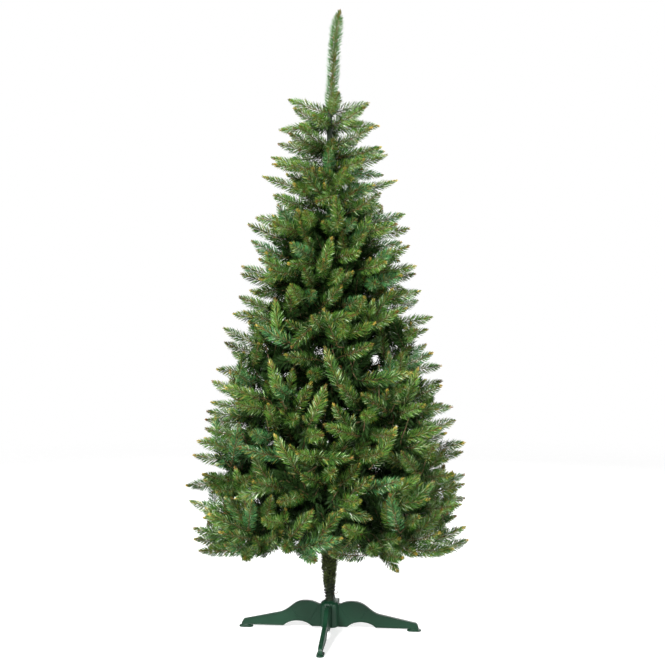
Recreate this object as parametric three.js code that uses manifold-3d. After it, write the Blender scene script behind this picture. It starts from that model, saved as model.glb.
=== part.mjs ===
// An artificial Christmas tree, 1.8 m tall, standing on its four-legged plastic stand.
// Millimetres, +Z up, the floor at z = 0 under the pole. The photograph looks along +Y.
//
// A tapered pole rises out of the stand's hub. Tiers of four wire boughs leave the pole low down, and each bough
// carries a mass of brush-like sprays. Higher up, where branches are short, each mass starts from the pole itself.
// A mass grows by one seeded rule: its stem parts into fronds that fan out towards the crown's surface, and each
// frond bears sprays whose tips lie on that surface. A spray is a slim core that points of needles stand out of.

import * as THREE from "three";
import { mergeVertices } from "three/addons/utils/BufferGeometryUtils.js";
import Module from "manifold-3d";

const wasm = await Module();
wasm.setup();

// Driving dimensions
const HEIGHT = 1800; // floor to the tip of the leader
const GAP = 0.3; // clearance between neighbouring pieces
const SEED = 20;

// Trunk
const POLE = { foot: 12, footRadius: 11.2, top: 1500, topRadius: 8, sides: 20 };
const LEADER = { reach: 19, lean: 28, bend: 0.5 }; // it leans over the part above the bend, a share of its length
const GARLAND = { bottom: 118, top: 222, bottomRadius: 15, topRadius: 23, rings: 6, sides: 10 };
const GARLAND_TOOTH = { out: 1.1, in: 0.88, rise: 7 };

// Crown: how far it reaches from the pole at three heights
const CROWN = { foot: 226, full: 470, top: 1545, footReach: 404, fullReach: 412, topReach: 122 };
const TIER = { count: 9, first: 276, step: 155, stepLoss: 3, masses: 4, turn: 45, withBoughs: 4, overlap: 24 };
const RISE = { first: 6, last: 27 }; // degrees above level, at the lowest and the highest tier
const BOUGH = { share: 0.36, baseRadius: 5.2, tipRadius: 3.4, sides: 6 };
const STEM = { boughShare: 0.06, poleShare: 0.2, radius: 3.6 }; // lengths as shares of the crown's reach
const FROND = { pitch: 220, bristled: 165, sway: 0.15 };
const SPRAY = { length: 145, reach: 30, stalk: 3.2, sides: 3, ringStep: 43, mostBristled: 0.92, tipSpacing: 78 };
const SMALLEST = { length: 0.45, reach: 0.4 }; // what a spray would keep of its size where the crown has no reach

// The sprays that a frond bears: where along it, how far to the side as a share of the frond's room, how far above
// its tip as a share of half the tier's depth, and how near the crown's surface. Some are on every second frond.
const SIDE_SPRAYS = [
  { borne: 0.46, side: 0.36, above: -0.6, deep: 1, onAll: true },
  { borne: 0.36, side: -0.36, above: 0.6, deep: 1, onAll: true },
  { borne: 0.16, side: 0.12, above: 0.75, deep: 0.8, onAll: false },
];

// How a tip strays from its wanted place while it seeks room, as shares of the tier's depth and the frond's room
const STRAY = { tries: 14, start: 0.3, height: 0.3, across: 0.22, depth: 0.05, footLow: 6, footHigh: 26 };

// The room that a spray takes: stretches of its bristled length, with a radius as a share of its reach
const ROOM = [
  { from: 0.1, to: 0.7, radius: 0.92 },
  { from: 0.7, to: 0.96, radius: 0.55 },
];

// Stand
const HUB = { radius: 28, bottom: 8, top: 82, chamfer: 3, collarRadius: 20, collarTop: 89, slotTop: 74, sides: 20 };
const LEG = { count: 4, turn: -5.5, thickness: 8, inner: 21, shoulder: 72, hump: 81, knee: 45, toe: 24, tip: 257 };
const LEG_FOOT = { bottom: 7, archFrom: 52, archTo: 134, archTop: 27 };
const RIB = { width: 12, depth: 3.2 };
const PAD = { centre: 242, length: 41, width: 21, height: 5, neck: 0.6, neckTop: 8 };
const LEG_NAMES = ["right", "back", "left", "front"];

const COLOURS = {
  plastic: { color: 0x1f5540, roughness: 0.42, metalness: 0 },
  pole: { color: 0x2a3022, roughness: 0.6, metalness: 0.2 },
  wire: { color: 0x4a4a2c, roughness: 0.7, metalness: 0.1 },
  needles: { color: 0x3f6a3a, roughness: 0.65, metalness: 0 },
};

const radians = THREE.MathUtils.degToRad;
const quarterTurn = Math.PI / 2;

// A repeatable random source: the same seed gives the same row of numbers from 0 to 1.
function seeded(seed) {
  let state = seed >>> 0;
  return () => {
    state = (state + 0x6d2b79f5) >>> 0;
    let t = Math.imul(state ^ (state >>> 15), state | 1);
    t ^= t + Math.imul(t ^ (t >>> 7), t | 61);
    return ((t ^ (t >>> 14)) >>> 0) / 4294967296;
  };
}

// A point at a distance from the pole's axis, an angle round it in degrees, and a height.
function around(distance, degrees, height) {
  const angle = radians(degrees);
  return new THREE.Vector3(distance * Math.cos(angle), distance * Math.sin(angle), height);
}

// Solids

// A closed three.js geometry as a solid that can be joined and cut.
function solid(geometry) {
  const bare = geometry.index ? geometry.toNonIndexed() : geometry.clone();
  bare.deleteAttribute("normal");
  bare.deleteAttribute("uv");
  const merged = mergeVertices(bare, 1e-3);
  const corners = merged.index.array;
  const kept = [];
  for (let i = 0; i < corners.length; i += 3) {
    const [a, b, c] = corners.slice(i, i + 3);
    if (a !== b && b !== c && c !== a) kept.push(a, b, c);
  }
  const vertProperties = new Float32Array(merged.attributes.position.array);
  return new wasm.Manifold(new wasm.Mesh({ numProp: 3, vertProperties, triVerts: new Uint32Array(kept) }));
}

// A solid as a named three.js mesh.
function piece(name, made, look) {
  const mesh = made.getMesh();
  const geometry = new THREE.BufferGeometry();
  const positions = new Float32Array(mesh.numVert * 3);
  for (let i = 0; i < mesh.numVert; i++) {
    positions.set(mesh.vertProperties.subarray(i * mesh.numProp, i * mesh.numProp + 3), i * 3);
  }
  geometry.setAttribute("position", new THREE.BufferAttribute(positions, 3));
  geometry.setIndex(new THREE.BufferAttribute(new Uint32Array(mesh.triVerts), 1));
  const named = new THREE.Mesh(geometry, new THREE.MeshStandardMaterial(COLOURS[look]));
  named.name = name;
  return named;
}

// Turns a geometry made along +Y, with its foot at the origin, so that it runs from one point towards another.
function aim(geometry, from, to) {
  const direction = to.clone().sub(from).normalize();
  const turn = new THREE.Quaternion().setFromUnitVectors(new THREE.Vector3(0, 1, 0), direction);
  return geometry.applyQuaternion(turn).translate(from.x, from.y, from.z);
}

// A straight tapered limb between two points.
function limb(from, to, radiusFrom, radiusTo, sides) {
  const length = from.distanceTo(to);
  const geometry = new THREE.CylinderGeometry(radiusTo, radiusFrom, length, sides).translate(0, length / 2, 0);
  return solid(aim(geometry, from, to));
}

// A round solid about the z axis, from [radius, height] pairs that start and end on the axis or close on themselves.
function turned(profile, sides) {
  const points = profile.map(([radius, height]) => new THREE.Vector2(radius, height));
  return solid(new THREE.LatheGeometry(points, sides).rotateX(quarterTurn));
}

// How far needles stand out at a share of a spray's bristled length: less at its foot, and least near its tip.
function swell(share) {
  return Math.min(1, 0.6 + 1.8 * share, 0.35 + 2.2 * (1 - share));
}

// A spray along +Y: a slim three-sided core with rings of three needle points that stand out of it, on a bare stalk.
// Each ring is turned by a sixth of a turn from the last, so a point always lies over the dip between two points of
// the next ring, and the outline is toothed from every side. The bristled length ends at the tip.
function sprayGeometry(length, bristled, reach) {
  const bare = length - bristled;
  const rings = Math.max(3, Math.round((bristled * SPRAY.reach) / (SPRAY.ringStep * reach)));
  const profile = [new THREE.Vector2(0, 0), new THREE.Vector2(SPRAY.stalk, 0)];
  for (let ring = 0; ring < rings; ring++) {
    const share = (ring + 0.6) / (rings + 0.2);
    profile.push(new THREE.Vector2(reach * swell(share), bare + share * bristled));
  }
  profile.push(new THREE.Vector2(0, length));
  const geometry = new THREE.LatheGeometry(profile, SPRAY.sides);
  const corners = geometry.getAttribute("position");
  for (let column = 0; column <= SPRAY.sides; column++) {
    profile.forEach((point, row) => {
      const angle = (2 * column + row) * (Math.PI / SPRAY.sides);
      corners.setX(column * profile.length + row, point.x * Math.sin(angle));
      corners.setZ(column * profile.length + row, point.x * Math.cos(angle));
    });
  }
  return geometry;
}

// The crown's layout

// How far the sprays reach from the pole at a height.
function crownReach(z) {
  const { foot, full, top, footReach, fullReach, topReach } = CROWN;
  if (z < full) return THREE.MathUtils.mapLinear(z, foot, full, footReach, fullReach);
  return THREE.MathUtils.mapLinear(z, full, top, fullReach, topReach);
}

// The least distance between two straight stretches [a, b] and [c, d].
function stretchGap(a, b, c, d) {
  const clamp = THREE.MathUtils.clamp;
  const u = b.clone().sub(a);
  const v = d.clone().sub(c);
  const w = a.clone().sub(c);
  const uu = u.dot(u);
  const uv = u.dot(v);
  const vv = v.dot(v);
  const uw = u.dot(w);
  const vw = v.dot(w);
  const slant = uu * vv - uv * uv;
  const first = slant > 1e-9 ? clamp((uv * vw - vv * uw) / slant, 0, 1) : 0;
  const alongV = clamp((uv * first + vw) / vv, 0, 1);
  const alongU = clamp((uv * alongV - uw) / uu, 0, 1);
  return a.clone().addScaledVector(u, alongU).distanceTo(c.clone().addScaledVector(v, alongV));
}

// Every stretch of limb and spray that is in place, with the radius it takes up and the mass it belongs to.
const placed = [];

// Whether a stretch keeps clear of all that is in place and isn't its own mass's.
function isFree(stretch) {
  return placed.every((other) => {
    if (other.owner === stretch.owner) return true;
    return stretchGap(stretch.from, stretch.to, other.from, other.to) > stretch.radius + other.radius + GAP;
  });
}

// Marks a stretch of the trunk as in place.
function placeTrunk(from, to, radius) {
  placed.push({ from, to, radius, owner: "trunk" });
}

function tierHeight(tier) {
  return TIER.first + TIER.step * tier - (TIER.stepLoss * tier * (tier - 1)) / 2;
}

// A mass's own space: a quarter of the crown round its angle, between slanting surfaces above and below it.
function inSpace(point, mass, margin) {
  const distance = Math.hypot(point.x, point.y);
  const off = THREE.MathUtils.radToDeg(Math.atan2(point.y, point.x)) - mass.angle;
  const aside = Math.abs(THREE.MathUtils.euclideanModulo(off + 180, 360) - 180);
  const toEdge = distance * Math.sin(radians(180 / TIER.masses - aside));
  const above = point.z - mass.height - distance * Math.tan(radians(mass.rise));
  return toEdge > margin && Math.abs(above) < mass.halfDepth && point.z > CROWN.foot;
}

// Adds a spray from a point on what bears it to its tip, if it keeps to the mass's space and clear of what is in
// place, and says whether it did.
function addSpray(mass, from, tip, wantedLength) {
  const length = from.distanceTo(tip);
  const bristled = Math.min(wantedLength * mass.size, length * SPRAY.mostBristled);
  const reach = SPRAY.reach * (SMALLEST.reach + (1 - SMALLEST.reach) * mass.size);
  const along = (share) => tip.clone().lerp(from, (bristled * (1 - share)) / length);
  const stalk = { from: from.clone().lerp(tip, ROOM[0].from), to: along(ROOM[0].from), radius: SPRAY.stalk + 1 };
  const body = ROOM.map((part) => ({ from: along(part.from), to: along(part.to), radius: reach * part.radius }));
  const stretches = [stalk, ...body].map((stretch) => ({ ...stretch, owner: mass.index }));
  const keepsIn = inSpace(tip, mass, 0) && inSpace(along(0.5), mass, reach / 2);
  const standsApart = mass.sprays.every((other) => other.tip.distanceTo(tip) > SPRAY.tipSpacing * mass.size);
  if (!keepsIn || !standsApart || !stretches.every(isFree)) return false;
  placed.push(...stretches);
  mass.sprays.push({ from, tip, bristled, reach });
  return true;
}

// Tries to add a spray whose tip lies near a wanted place on the crown's surface, straying further at each try. One
// that finds no room is skipped.
function seekRoom(mass, from, degrees, height, deep, wantedLength) {
  const between = (low, high) => low + (high - low) * mass.random();
  for (let attempt = 0; attempt < STRAY.tries; attempt++) {
    const strays = STRAY.start + attempt / STRAY.tries;
    const tipHeight = height + between(-STRAY.height, STRAY.height) * mass.halfDepth * strays;
    const clearHeight = Math.max(tipHeight, CROWN.foot + between(STRAY.footLow, STRAY.footHigh));
    const across = degrees + between(-STRAY.across, STRAY.across) * mass.room * strays;
    const distance = crownReach(clearHeight) * deep * between(1 - STRAY.depth, 1);
    const tip = around(distance, across, clearHeight);
    if (addSpray(mass, from, tip, wantedLength)) return tip;
  }
  return null;
}

// The mass's stem parts into fronds that fan out, each of them a long spray.
function growFronds(mass) {
  for (let i = 0; i < mass.frondCount; i++) {
    const way = i % 2 ? 1 : -1;
    const middle = mass.angle + mass.room * (i + 0.5 - mass.frondCount / 2);
    const height = mass.tipHeight + way * FROND.sway * mass.halfDepth;
    const tip = seekRoom(mass, mass.parting, middle, height, 1, FROND.bristled);
    if (tip) mass.fronds.push({ tip, way, middle });
  }
}

// Each frond, or every second one, bears a spray at one of the places.
function growSideSprays(mass, { borne, side, above, deep, onAll }) {
  for (const { tip, way, middle } of mass.fronds) {
    if (!onAll && way < 0) continue;
    const foot = mass.parting.clone().lerp(tip, borne);
    const height = mass.tipHeight + way * above * mass.halfDepth;
    seekRoom(mass, foot, middle + way * side * mass.room, height, deep, SPRAY.length);
  }
}

// The boughs and the starts of the masses, tier by tier.
function layOutMasses() {
  const laidOut = [];
  for (let tier = 0; tier < TIER.count; tier++) {
    const height = tierHeight(tier);
    const rise = THREE.MathUtils.mapLinear(tier, 0, TIER.count - 1, RISE.first, RISE.last);
    const reach = crownReach(height);
    const hasBough = tier < TIER.withBoughs;
    const boughLength = hasBough ? reach * BOUGH.share : 0;
    const stemLength = reach * (hasBough ? STEM.boughShare : STEM.poleShare);
    const tipHeight = height + reach * Math.tan(radians(rise));
    const surface = (2 * Math.PI * crownReach(tipHeight)) / TIER.masses;
    const frondCount = Math.max(1, Math.round(surface / FROND.pitch));
    for (let i = 0; i < TIER.masses; i++) {
      const angle = (360 / TIER.masses) * i + TIER.turn * (tier + 1);
      const direction = around(Math.cos(radians(rise)), angle, Math.sin(radians(rise)));
      const bearer = new THREE.Vector3(0, 0, height);
      const along = (distance) => bearer.clone().addScaledVector(direction, distance);
      const mass = {
        index: laidOut.length,
        name: `${tier + 1}_${i + 1}`,
        angle,
        height,
        rise,
        tipHeight,
        frondCount,
        room: 360 / TIER.masses / frondCount,
        halfDepth: (TIER.step - TIER.stepLoss * tier) / 2 + TIER.overlap,
        size: SMALLEST.length + ((1 - SMALLEST.length) * reach) / CROWN.fullReach,
        hasBough,
        bearer,
        boughTip: along(boughLength - GAP),
        start: along(boughLength),
        parting: along(boughLength + stemLength),
        random: seeded(SEED + laidOut.length),
        fronds: [],
        sprays: [],
      };
      if (hasBough) placed.push({ from: bearer, to: mass.start, radius: BOUGH.baseRadius, owner: mass.index });
      laidOut.push(mass);
    }
  }
  return laidOut;
}

const poleTop = new THREE.Vector3(0, 0, POLE.top);
placeTrunk(new THREE.Vector3(), poleTop, POLE.footRadius);
placeTrunk(poleTop, new THREE.Vector3(LEADER.lean, 0, HEIGHT), LEADER.reach);
placeTrunk(
  new THREE.Vector3(0, 0, GARLAND.bottom),
  new THREE.Vector3(0, 0, GARLAND.top),
  GARLAND.topRadius * GARLAND_TOOTH.out,
);
const masses = layOutMasses();
masses.forEach(growFronds);
for (const place of SIDE_SPRAYS) masses.forEach((mass) => growSideSprays(mass, place));

// Trunk

function buildPole() {
  const profile = [
    [0, POLE.foot],
    [POLE.footRadius, POLE.foot],
    [POLE.topRadius, POLE.top],
    [0, POLE.top],
  ];
  return piece("pole", turned(profile, POLE.sides), "pole");
}

// The pole grown by the gap, which boughs and stems are cut back to.
const poleSpace = turned(
  [
    [0, 0],
    [POLE.footRadius + GAP, 0],
    [POLE.topRadius + GAP, POLE.top + GAP],
    [0, POLE.top + GAP],
  ],
  POLE.sides,
);

// A garland of short needles wound round the foot of the pole: a ring with a toothed outside. Every other corner of
// each ring is drawn out and up, and the rings are set half a step apart.
function buildGarland() {
  const { bottom, top, bottomRadius, topRadius, rings, sides } = GARLAND;
  const inside = (POLE.footRadius + GAP) / Math.cos(Math.PI / sides);
  const profile = [new THREE.Vector2(inside, bottom)];
  for (let ring = 0; ring < rings; ring++) {
    const share = (ring + 0.15) / rings;
    const radius = THREE.MathUtils.lerp(bottomRadius, topRadius, share);
    profile.push(new THREE.Vector2(radius, THREE.MathUtils.lerp(bottom, top, share)));
  }
  profile.push(new THREE.Vector2(inside, top), new THREE.Vector2(inside, bottom));
  const geometry = new THREE.LatheGeometry(profile, sides);
  const corners = geometry.getAttribute("position");
  for (let column = 0; column <= sides; column++) {
    for (let ring = 0; ring < rings; ring++) {
      const corner = column * profile.length + ring + 1;
      const isTooth = ((column % sides) + ring) % 2 === 0;
      const outward = isTooth ? GARLAND_TOOTH.out : GARLAND_TOOTH.in;
      corners.setX(corner, corners.getX(corner) * outward);
      corners.setZ(corner, corners.getZ(corner) * outward);
      corners.setY(corner, corners.getY(corner) + (isTooth ? GARLAND_TOOTH.rise : 0));
    }
  }
  return piece("pole_garland", solid(geometry.rotateX(quarterTurn)), "needles");
}

// The leader: one long spray that stands on the pole's tip, upright up to its bend and then leaning.
function buildLeader() {
  const length = HEIGHT - POLE.top - GAP;
  const geometry = sprayGeometry(length, length * SPRAY.mostBristled, LEADER.reach);
  const corners = geometry.getAttribute("position");
  for (let i = 0; i < corners.count; i++) {
    const aboveBend = Math.max(0, corners.getY(i) / length - LEADER.bend);
    corners.setX(i, corners.getX(i) + (LEADER.lean * aboveBend) / (1 - LEADER.bend));
  }
  geometry.rotateX(quarterTurn).translate(0, 0, POLE.top + GAP);
  return piece("leader", solid(geometry), "needles");
}

// Boughs and masses

function buildBough(mass) {
  const made = limb(mass.bearer, mass.boughTip, BOUGH.baseRadius, BOUGH.tipRadius, BOUGH.sides);
  return piece("bough_" + mass.name, made.subtract(poleSpace), "wire");
}

// A mass as one solid: its stem and its sprays. The foot of each spray is sunk into what bears it.
function buildMass(mass) {
  let made = limb(mass.start, mass.parting, STEM.radius, STEM.radius, BOUGH.sides);
  for (const { from, tip, bristled, reach } of mass.sprays) {
    const sunk = from.clone().lerp(tip, -SPRAY.stalk / from.distanceTo(tip));
    made = made.add(solid(aim(sprayGeometry(sunk.distanceTo(tip), bristled, reach), sunk, tip)));
  }
  if (!mass.hasBough) made = made.subtract(poleSpace);
  const [whole] = made.decompose().sort((a, b) => b.volume() - a.volume());
  return piece("foliage_" + mass.name, whole, "needles");
}

// Stand

// A leg's side: out along the floor under a low arch, round the toe, and back over the knee and the hump.
function legOutline() {
  const { archFrom, archTo, archTop, bottom } = LEG_FOOT;
  const outline = new THREE.Shape();
  outline.moveTo(LEG.inner, bottom);
  outline.lineTo(archFrom, bottom);
  outline.bezierCurveTo(archFrom + 18, archTop, archTo - 18, archTop, archTo, bottom);
  outline.lineTo(LEG.tip, bottom);
  outline.lineTo(LEG.tip + 1, 14);
  outline.quadraticCurveTo(LEG.tip, 22, 246, LEG.toe);
  outline.lineTo(146, LEG.knee);
  outline.bezierCurveTo(112, LEG.knee + 9, 108, LEG.hump, 68, LEG.hump);
  outline.bezierCurveTo(48, LEG.hump, 40, LEG.shoulder + 4, HUB.radius + 1.5, LEG.shoulder);
  outline.lineTo(LEG.inner, LEG.shoulder);
  outline.closePath();
  return outline;
}

// The rib that follows the leg's top edge: out along the edge, and back at the rib's depth below it.
function ribOutline() {
  const start = HUB.radius + 1.5;
  const outline = new THREE.Shape();
  outline.moveTo(start, LEG.shoulder);
  outline.bezierCurveTo(40, LEG.shoulder + 4, 48, LEG.hump, 68, LEG.hump);
  outline.bezierCurveTo(108, LEG.hump, 112, LEG.knee + 9, 146, LEG.knee);
  outline.lineTo(246, LEG.toe);
  outline.quadraticCurveTo(LEG.tip, 22, LEG.tip + 1, 14);
  outline.lineTo(LEG.tip - 3, 12);
  outline.lineTo(244, LEG.toe - RIB.depth);
  outline.lineTo(146, LEG.knee - RIB.depth);
  outline.bezierCurveTo(110, LEG.knee + 9 - RIB.depth, 106, LEG.hump - RIB.depth, 68, LEG.hump - RIB.depth);
  outline.bezierCurveTo(50, LEG.hump - RIB.depth, 42, LEG.shoulder, start, LEG.shoulder - RIB.depth);
  outline.closePath();
  return outline;
}

// A long oval plate that lies on the floor, at a share of the pad's full size and as thick as told.
function oval(share, thickness) {
  const radius = (PAD.width * share) / 2;
  const halfStraight = (PAD.length * share) / 2 - radius;
  const outline = new THREE.Shape();
  outline.absarc(PAD.centre + halfStraight, 0, radius, -quarterTurn, quarterTurn);
  outline.absarc(PAD.centre - halfStraight, 0, radius, quarterTurn, 3 * quarterTurn);
  return solid(new THREE.ExtrudeGeometry(outline, { depth: thickness, bevelEnabled: false, curveSegments: 6 }));
}

// An outline drawn outward and up, as a plate that stands on edge and is centred on y = 0.
function standing(outline, thickness) {
  const geometry = new THREE.ExtrudeGeometry(outline, { depth: thickness, bevelEnabled: false, curveSegments: 4 });
  return solid(geometry.translate(0, 0, -thickness / 2).rotateX(quarterTurn));
}

function buildLeg(index) {
  const plate = standing(legOutline(), LEG.thickness).add(standing(ribOutline(), RIB.width));
  const pad = oval(1, PAD.height).add(oval(PAD.neck, PAD.neckTop));
  const leg = piece("stand_leg_" + LEG_NAMES[index], plate.add(pad), "plastic");
  leg.rotation.z = radians((360 / LEG.count) * index + LEG.turn);
  return leg;
}

// The hub: a thick tube round the pole with a collar on top, and a slot for the inner edge of each leg.
function buildHub() {
  const bore = POLE.footRadius + GAP;
  const profile = [
    [bore, HUB.bottom],
    [HUB.radius, HUB.bottom],
    [HUB.radius, HUB.top - HUB.chamfer],
    [HUB.radius - HUB.chamfer, HUB.top],
    [HUB.collarRadius, HUB.top],
    [HUB.collarRadius - HUB.chamfer / 2, HUB.collarTop],
    [bore, HUB.collarTop],
    [bore, HUB.bottom],
  ];
  let made = turned(profile, HUB.sides);
  for (let i = 0; i < LEG.count; i++) {
    const slot = new THREE.BoxGeometry(HUB.radius, LEG.thickness + 2 * GAP, HUB.slotTop);
    slot.translate(LEG.inner - GAP + HUB.radius / 2, 0, HUB.slotTop / 2);
    made = made.subtract(solid(slot.rotateZ(radians((360 / LEG.count) * i + LEG.turn))));
  }
  return piece("stand_hub", made, "plastic");
}

const tree = new THREE.Group();
tree.add(buildPole(), buildGarland(), buildLeader(), buildHub());
for (let i = 0; i < LEG.count; i++) tree.add(buildLeg(i));
for (const mass of masses) {
  if (mass.hasBough) tree.add(buildBough(mass));
  tree.add(buildMass(mass));
}

export default tree;
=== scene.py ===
"""An artificial Christmas tree, 1.8 m tall, standing on its four-legged plastic stand.

The crown is grown by the seeded rule that the solids follow, in millimetres, and is carried on to finer
twigs. Each twig is a wire that ends in a brush-like spray of needles. The meshes are in metres, +Z up, and
the photograph looks along +Y.
"""

import functools
import math

import bpy
import numpy as np
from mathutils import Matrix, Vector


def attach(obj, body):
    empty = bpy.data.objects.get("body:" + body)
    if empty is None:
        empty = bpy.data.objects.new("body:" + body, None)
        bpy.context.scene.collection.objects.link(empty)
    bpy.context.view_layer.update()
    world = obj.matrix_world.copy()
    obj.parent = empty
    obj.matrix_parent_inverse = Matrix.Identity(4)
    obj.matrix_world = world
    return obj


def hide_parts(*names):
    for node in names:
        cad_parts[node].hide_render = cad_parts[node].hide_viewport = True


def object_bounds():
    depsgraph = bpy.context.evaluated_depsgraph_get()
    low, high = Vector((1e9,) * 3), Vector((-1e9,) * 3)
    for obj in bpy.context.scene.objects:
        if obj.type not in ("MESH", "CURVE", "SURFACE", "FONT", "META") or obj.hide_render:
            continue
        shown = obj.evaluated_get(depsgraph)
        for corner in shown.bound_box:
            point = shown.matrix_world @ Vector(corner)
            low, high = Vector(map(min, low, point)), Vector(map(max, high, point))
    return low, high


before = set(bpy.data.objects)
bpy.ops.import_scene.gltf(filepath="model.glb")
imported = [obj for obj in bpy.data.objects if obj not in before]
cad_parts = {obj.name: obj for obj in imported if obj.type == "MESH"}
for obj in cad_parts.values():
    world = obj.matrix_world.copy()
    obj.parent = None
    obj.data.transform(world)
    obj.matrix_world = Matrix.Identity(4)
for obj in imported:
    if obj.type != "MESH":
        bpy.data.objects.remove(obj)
SOLID_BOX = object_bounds()

bl_info = {
    "name": "Artificial Christmas tree",
    "version": (1, 0, 0),
    "blender": (4, 5, 0),
    "location": "View3D > Sidebar > Tree",
    "description": "Builds an artificial Christmas tree of wire twigs and needle sprays on a plastic stand",
    "category": "Object",
}

MM = 0.001
BODY = "root"
HEIGHT = SOLID_BOX[1][2] / MM
GAP = 0.3
SEED = 20
WORD = 0xFFFFFFFF  # 32 bits

# Trunk, in millimetres. Twigs from the pole start inside it.
POLE = {"foot": 12, "foot_radius": 11.2, "top": 1500, "top_radius": 8, "sides": 20, "rows": 300}
TWIG_FOOT = POLE["top_radius"] - 2
BAND = {"pitch": 26, "edge": 0.12, "relief": 0.45, "inset": 0.5}
LEADER = {"reach": 19, "lean": 28}
GARLAND = {"bottom": 118, "top": 222, "top_radius": 23, "tooth": 1.1}

# Crown: how far it reaches from the pole at three heights
CROWN = {"foot": 226, "full": 470, "top": 1545, "foot_reach": 404, "full_reach": 412, "top_reach": 122}
TIER = {"count": 9, "masses": 4, "with_boughs": 4, "turn": 45}
TIER_HEIGHT = {"first": 276, "step": 155, "step_loss": 3, "overlap": 24}
RISE = {"first": 6, "last": 27}
BOUGH = {"share": 0.36, "base_radius": 5.2, "wire": 0.94, "sides": 10, "rows": 60}
STRANDS = {"twist": 0.9, "strand": 0.1}
STEM = {"bough_share": 0.06, "pole_share": 0.2, "radius": 3.6, "end": 0.8}
FROND = {"pitch": 220, "bristled": 165, "sway": 0.15}
SPRAY = {"length": 145, "reach": 30, "stalk": 3.2, "most_bristled": 0.92, "tip_spacing": 78}
SMALLEST = {"length": 0.45, "reach": 0.4}

# The sprays that a frond bears: where along it, how far aside, how far above, how near the surface, and on
# all or not. Tries for a place stray from it by these shares, and a spray's stretches take up these shares
# of its length and reach.
SIDE_SPRAYS = [(0.46, 0.36, -0.6, 1, True), (0.36, -0.36, 0.6, 1, True), (0.16, 0.12, 0.75, 0.8, False)]
STRAY = {"tries": 14, "start": 0.3, "height": 0.3, "across": 0.22, "depth": 0.05, "above_foot": (6, 26)}
ROOM = [(0.1, 0.7, 0.92), (0.7, 0.96, 0.55)]

# How the twigs of the solids are settled: the highest tip, the steepest run from the pole in degrees, the
# height from which a twig is bristled all the way, and the lift of the lowest twigs in front, which fades
# out from the full lift to none between two heights
SETTLED = {"highest": 1531, "steepest": 15, "bristled_whole": 1290}
FRONT_LIFT = {"most": 40, "full": 240, "none": 350}
WIDER = ([1090, 1170, 1330, 1400], [1, 1.06, 1.06, 1])  # heights, and how much further out the tips are

# Real sprays: their bristled length where the crown is full and at its top, how far it varies, and how
# their heads lie: the share of the run's climb that is kept, and the lift and turn in degrees
REAL_SPRAY = {"full": 132, "top": 104, "varies": (0.94, 1.06), "most_bristled": 0.96}
HEAD = {"kept_climb": 0.25, "least_climb": -8, "most_drop": 0.75, "lift": (2, 20), "turn": 9}

# Finer twigs leave each limb and twig of the solids in pairs, at these distances behind its tip
FINE_STEPS = [92, 62, 128, 165, 200, 235]
FINE = {"tries": 12, "least_share": 0.05, "closest": 0.45, "nearer_on_boughs": 60, "lift": 0.9}
FINE_LENGTH = {"bristled": (0.8, 1.02), "whole": (1.06, 1.25)}
FINE_ROOM = {"tips": 54, "least_tips": 0.6, "axes": 25, "behind_tips": 42, "from_pole": 34, "highest": 1325}
AXIS_FROM = {"kept": 0.3, "tried": 0.45}  # where on a bristled stretch the part begins that stays clear
FORK = {"angle": (30, 68), "roll": 60}  # degrees from the bearer's run, and round it from the level
WHORL = {"height": 1352, "depth": 40, "twigs": 8, "climb": 9, "climb_share": (0.4, 1.4)}
WHORL_STRAY = {"turn": 0.4, "shorter": 0.12}
POLE_TWIGS = {"first": 300, "last": 1320, "pitch": 13, "turn": 137.5, "stray": 90, "tries": 12}
POLE_TWIG = {"climb": (12, 46), "length": 122, "varies": (0.85, 1.05), "whole": 1.12, "size": 0.6}
CROWDING = 0.62  # how much closer the twigs from the pole may stand

# One low spray in front hooks down below the crown's edge
HOOKED = {"foot": (70, -130, 300), "tip": (178, -300, 240), "head": (0.48, -0.55, -0.68), "bristled": 100}

# Wires: points and radii along a twig, how far it leaves its foot and joins its neck straight, as shares of
# the way, and how far a bristled stretch sags in its middle
WIRE = {"stalk_points": 6, "head_points": 5, "foot_radius": 1.9, "tip_radius": 0.9, "sides": 3}
STALK = {"leaves": 0.4, "joins": 0.35}
SAG = 3.2

# Needles: sizes in millimetres, and how the spread in degrees and the length go along a spray
NEEDLE = {"length": 30, "width": 1.8, "widest": 0.6, "bend": 0.15, "off_axis": 0.8}
VARIED = {"length": (0.82, 1.06), "width": (0.8, 1.15), "spread": 4}
SPREAD = ([0, 0.2, 0.55, 0.7, 0.85, 0.93, 1], [62, 53, 49, 43, 34, 24, 11])
LENGTH = ([0, 0.1, 0.5, 0.7, 0.85, 0.93, 1], [0.78, 1, 0.98, 0.84, 0.6, 0.42, 0.3])

# The needles in the dark inside of the crown, in the deep sprays and along the wires there, are painted
# shade:
# wide and few, in the shade colour. Those along the wires are counted by the millimetre, and begin at a share
# of each bough. The crown's lower edge is fuller, by height.
DEEP = {"width": 4, "fullness": 0.56}
ALONG_WIRE = {"count": 1.25, "bough_from": 0.3, "length": (0.6, 0.92), "spread": (42, 68), "rows": 17}
FULLNESS = ([260, 350], [1.45, 1])

# Two ribbons of needles wind round each wire: millimetres for a full turn, and a needle's stray in radians
RIBBON = {"pitch": 17, "stray": 0.3}

# Where the light reaches all of a twig: up to some way above the crown's foot, and from a height near the
# top. The crown's lower edge rises towards the front, by a share of the distance from the pole.
OPEN = {"foot": 10, "low": 44, "tilt": 0.13, "high": 1220}
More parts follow.
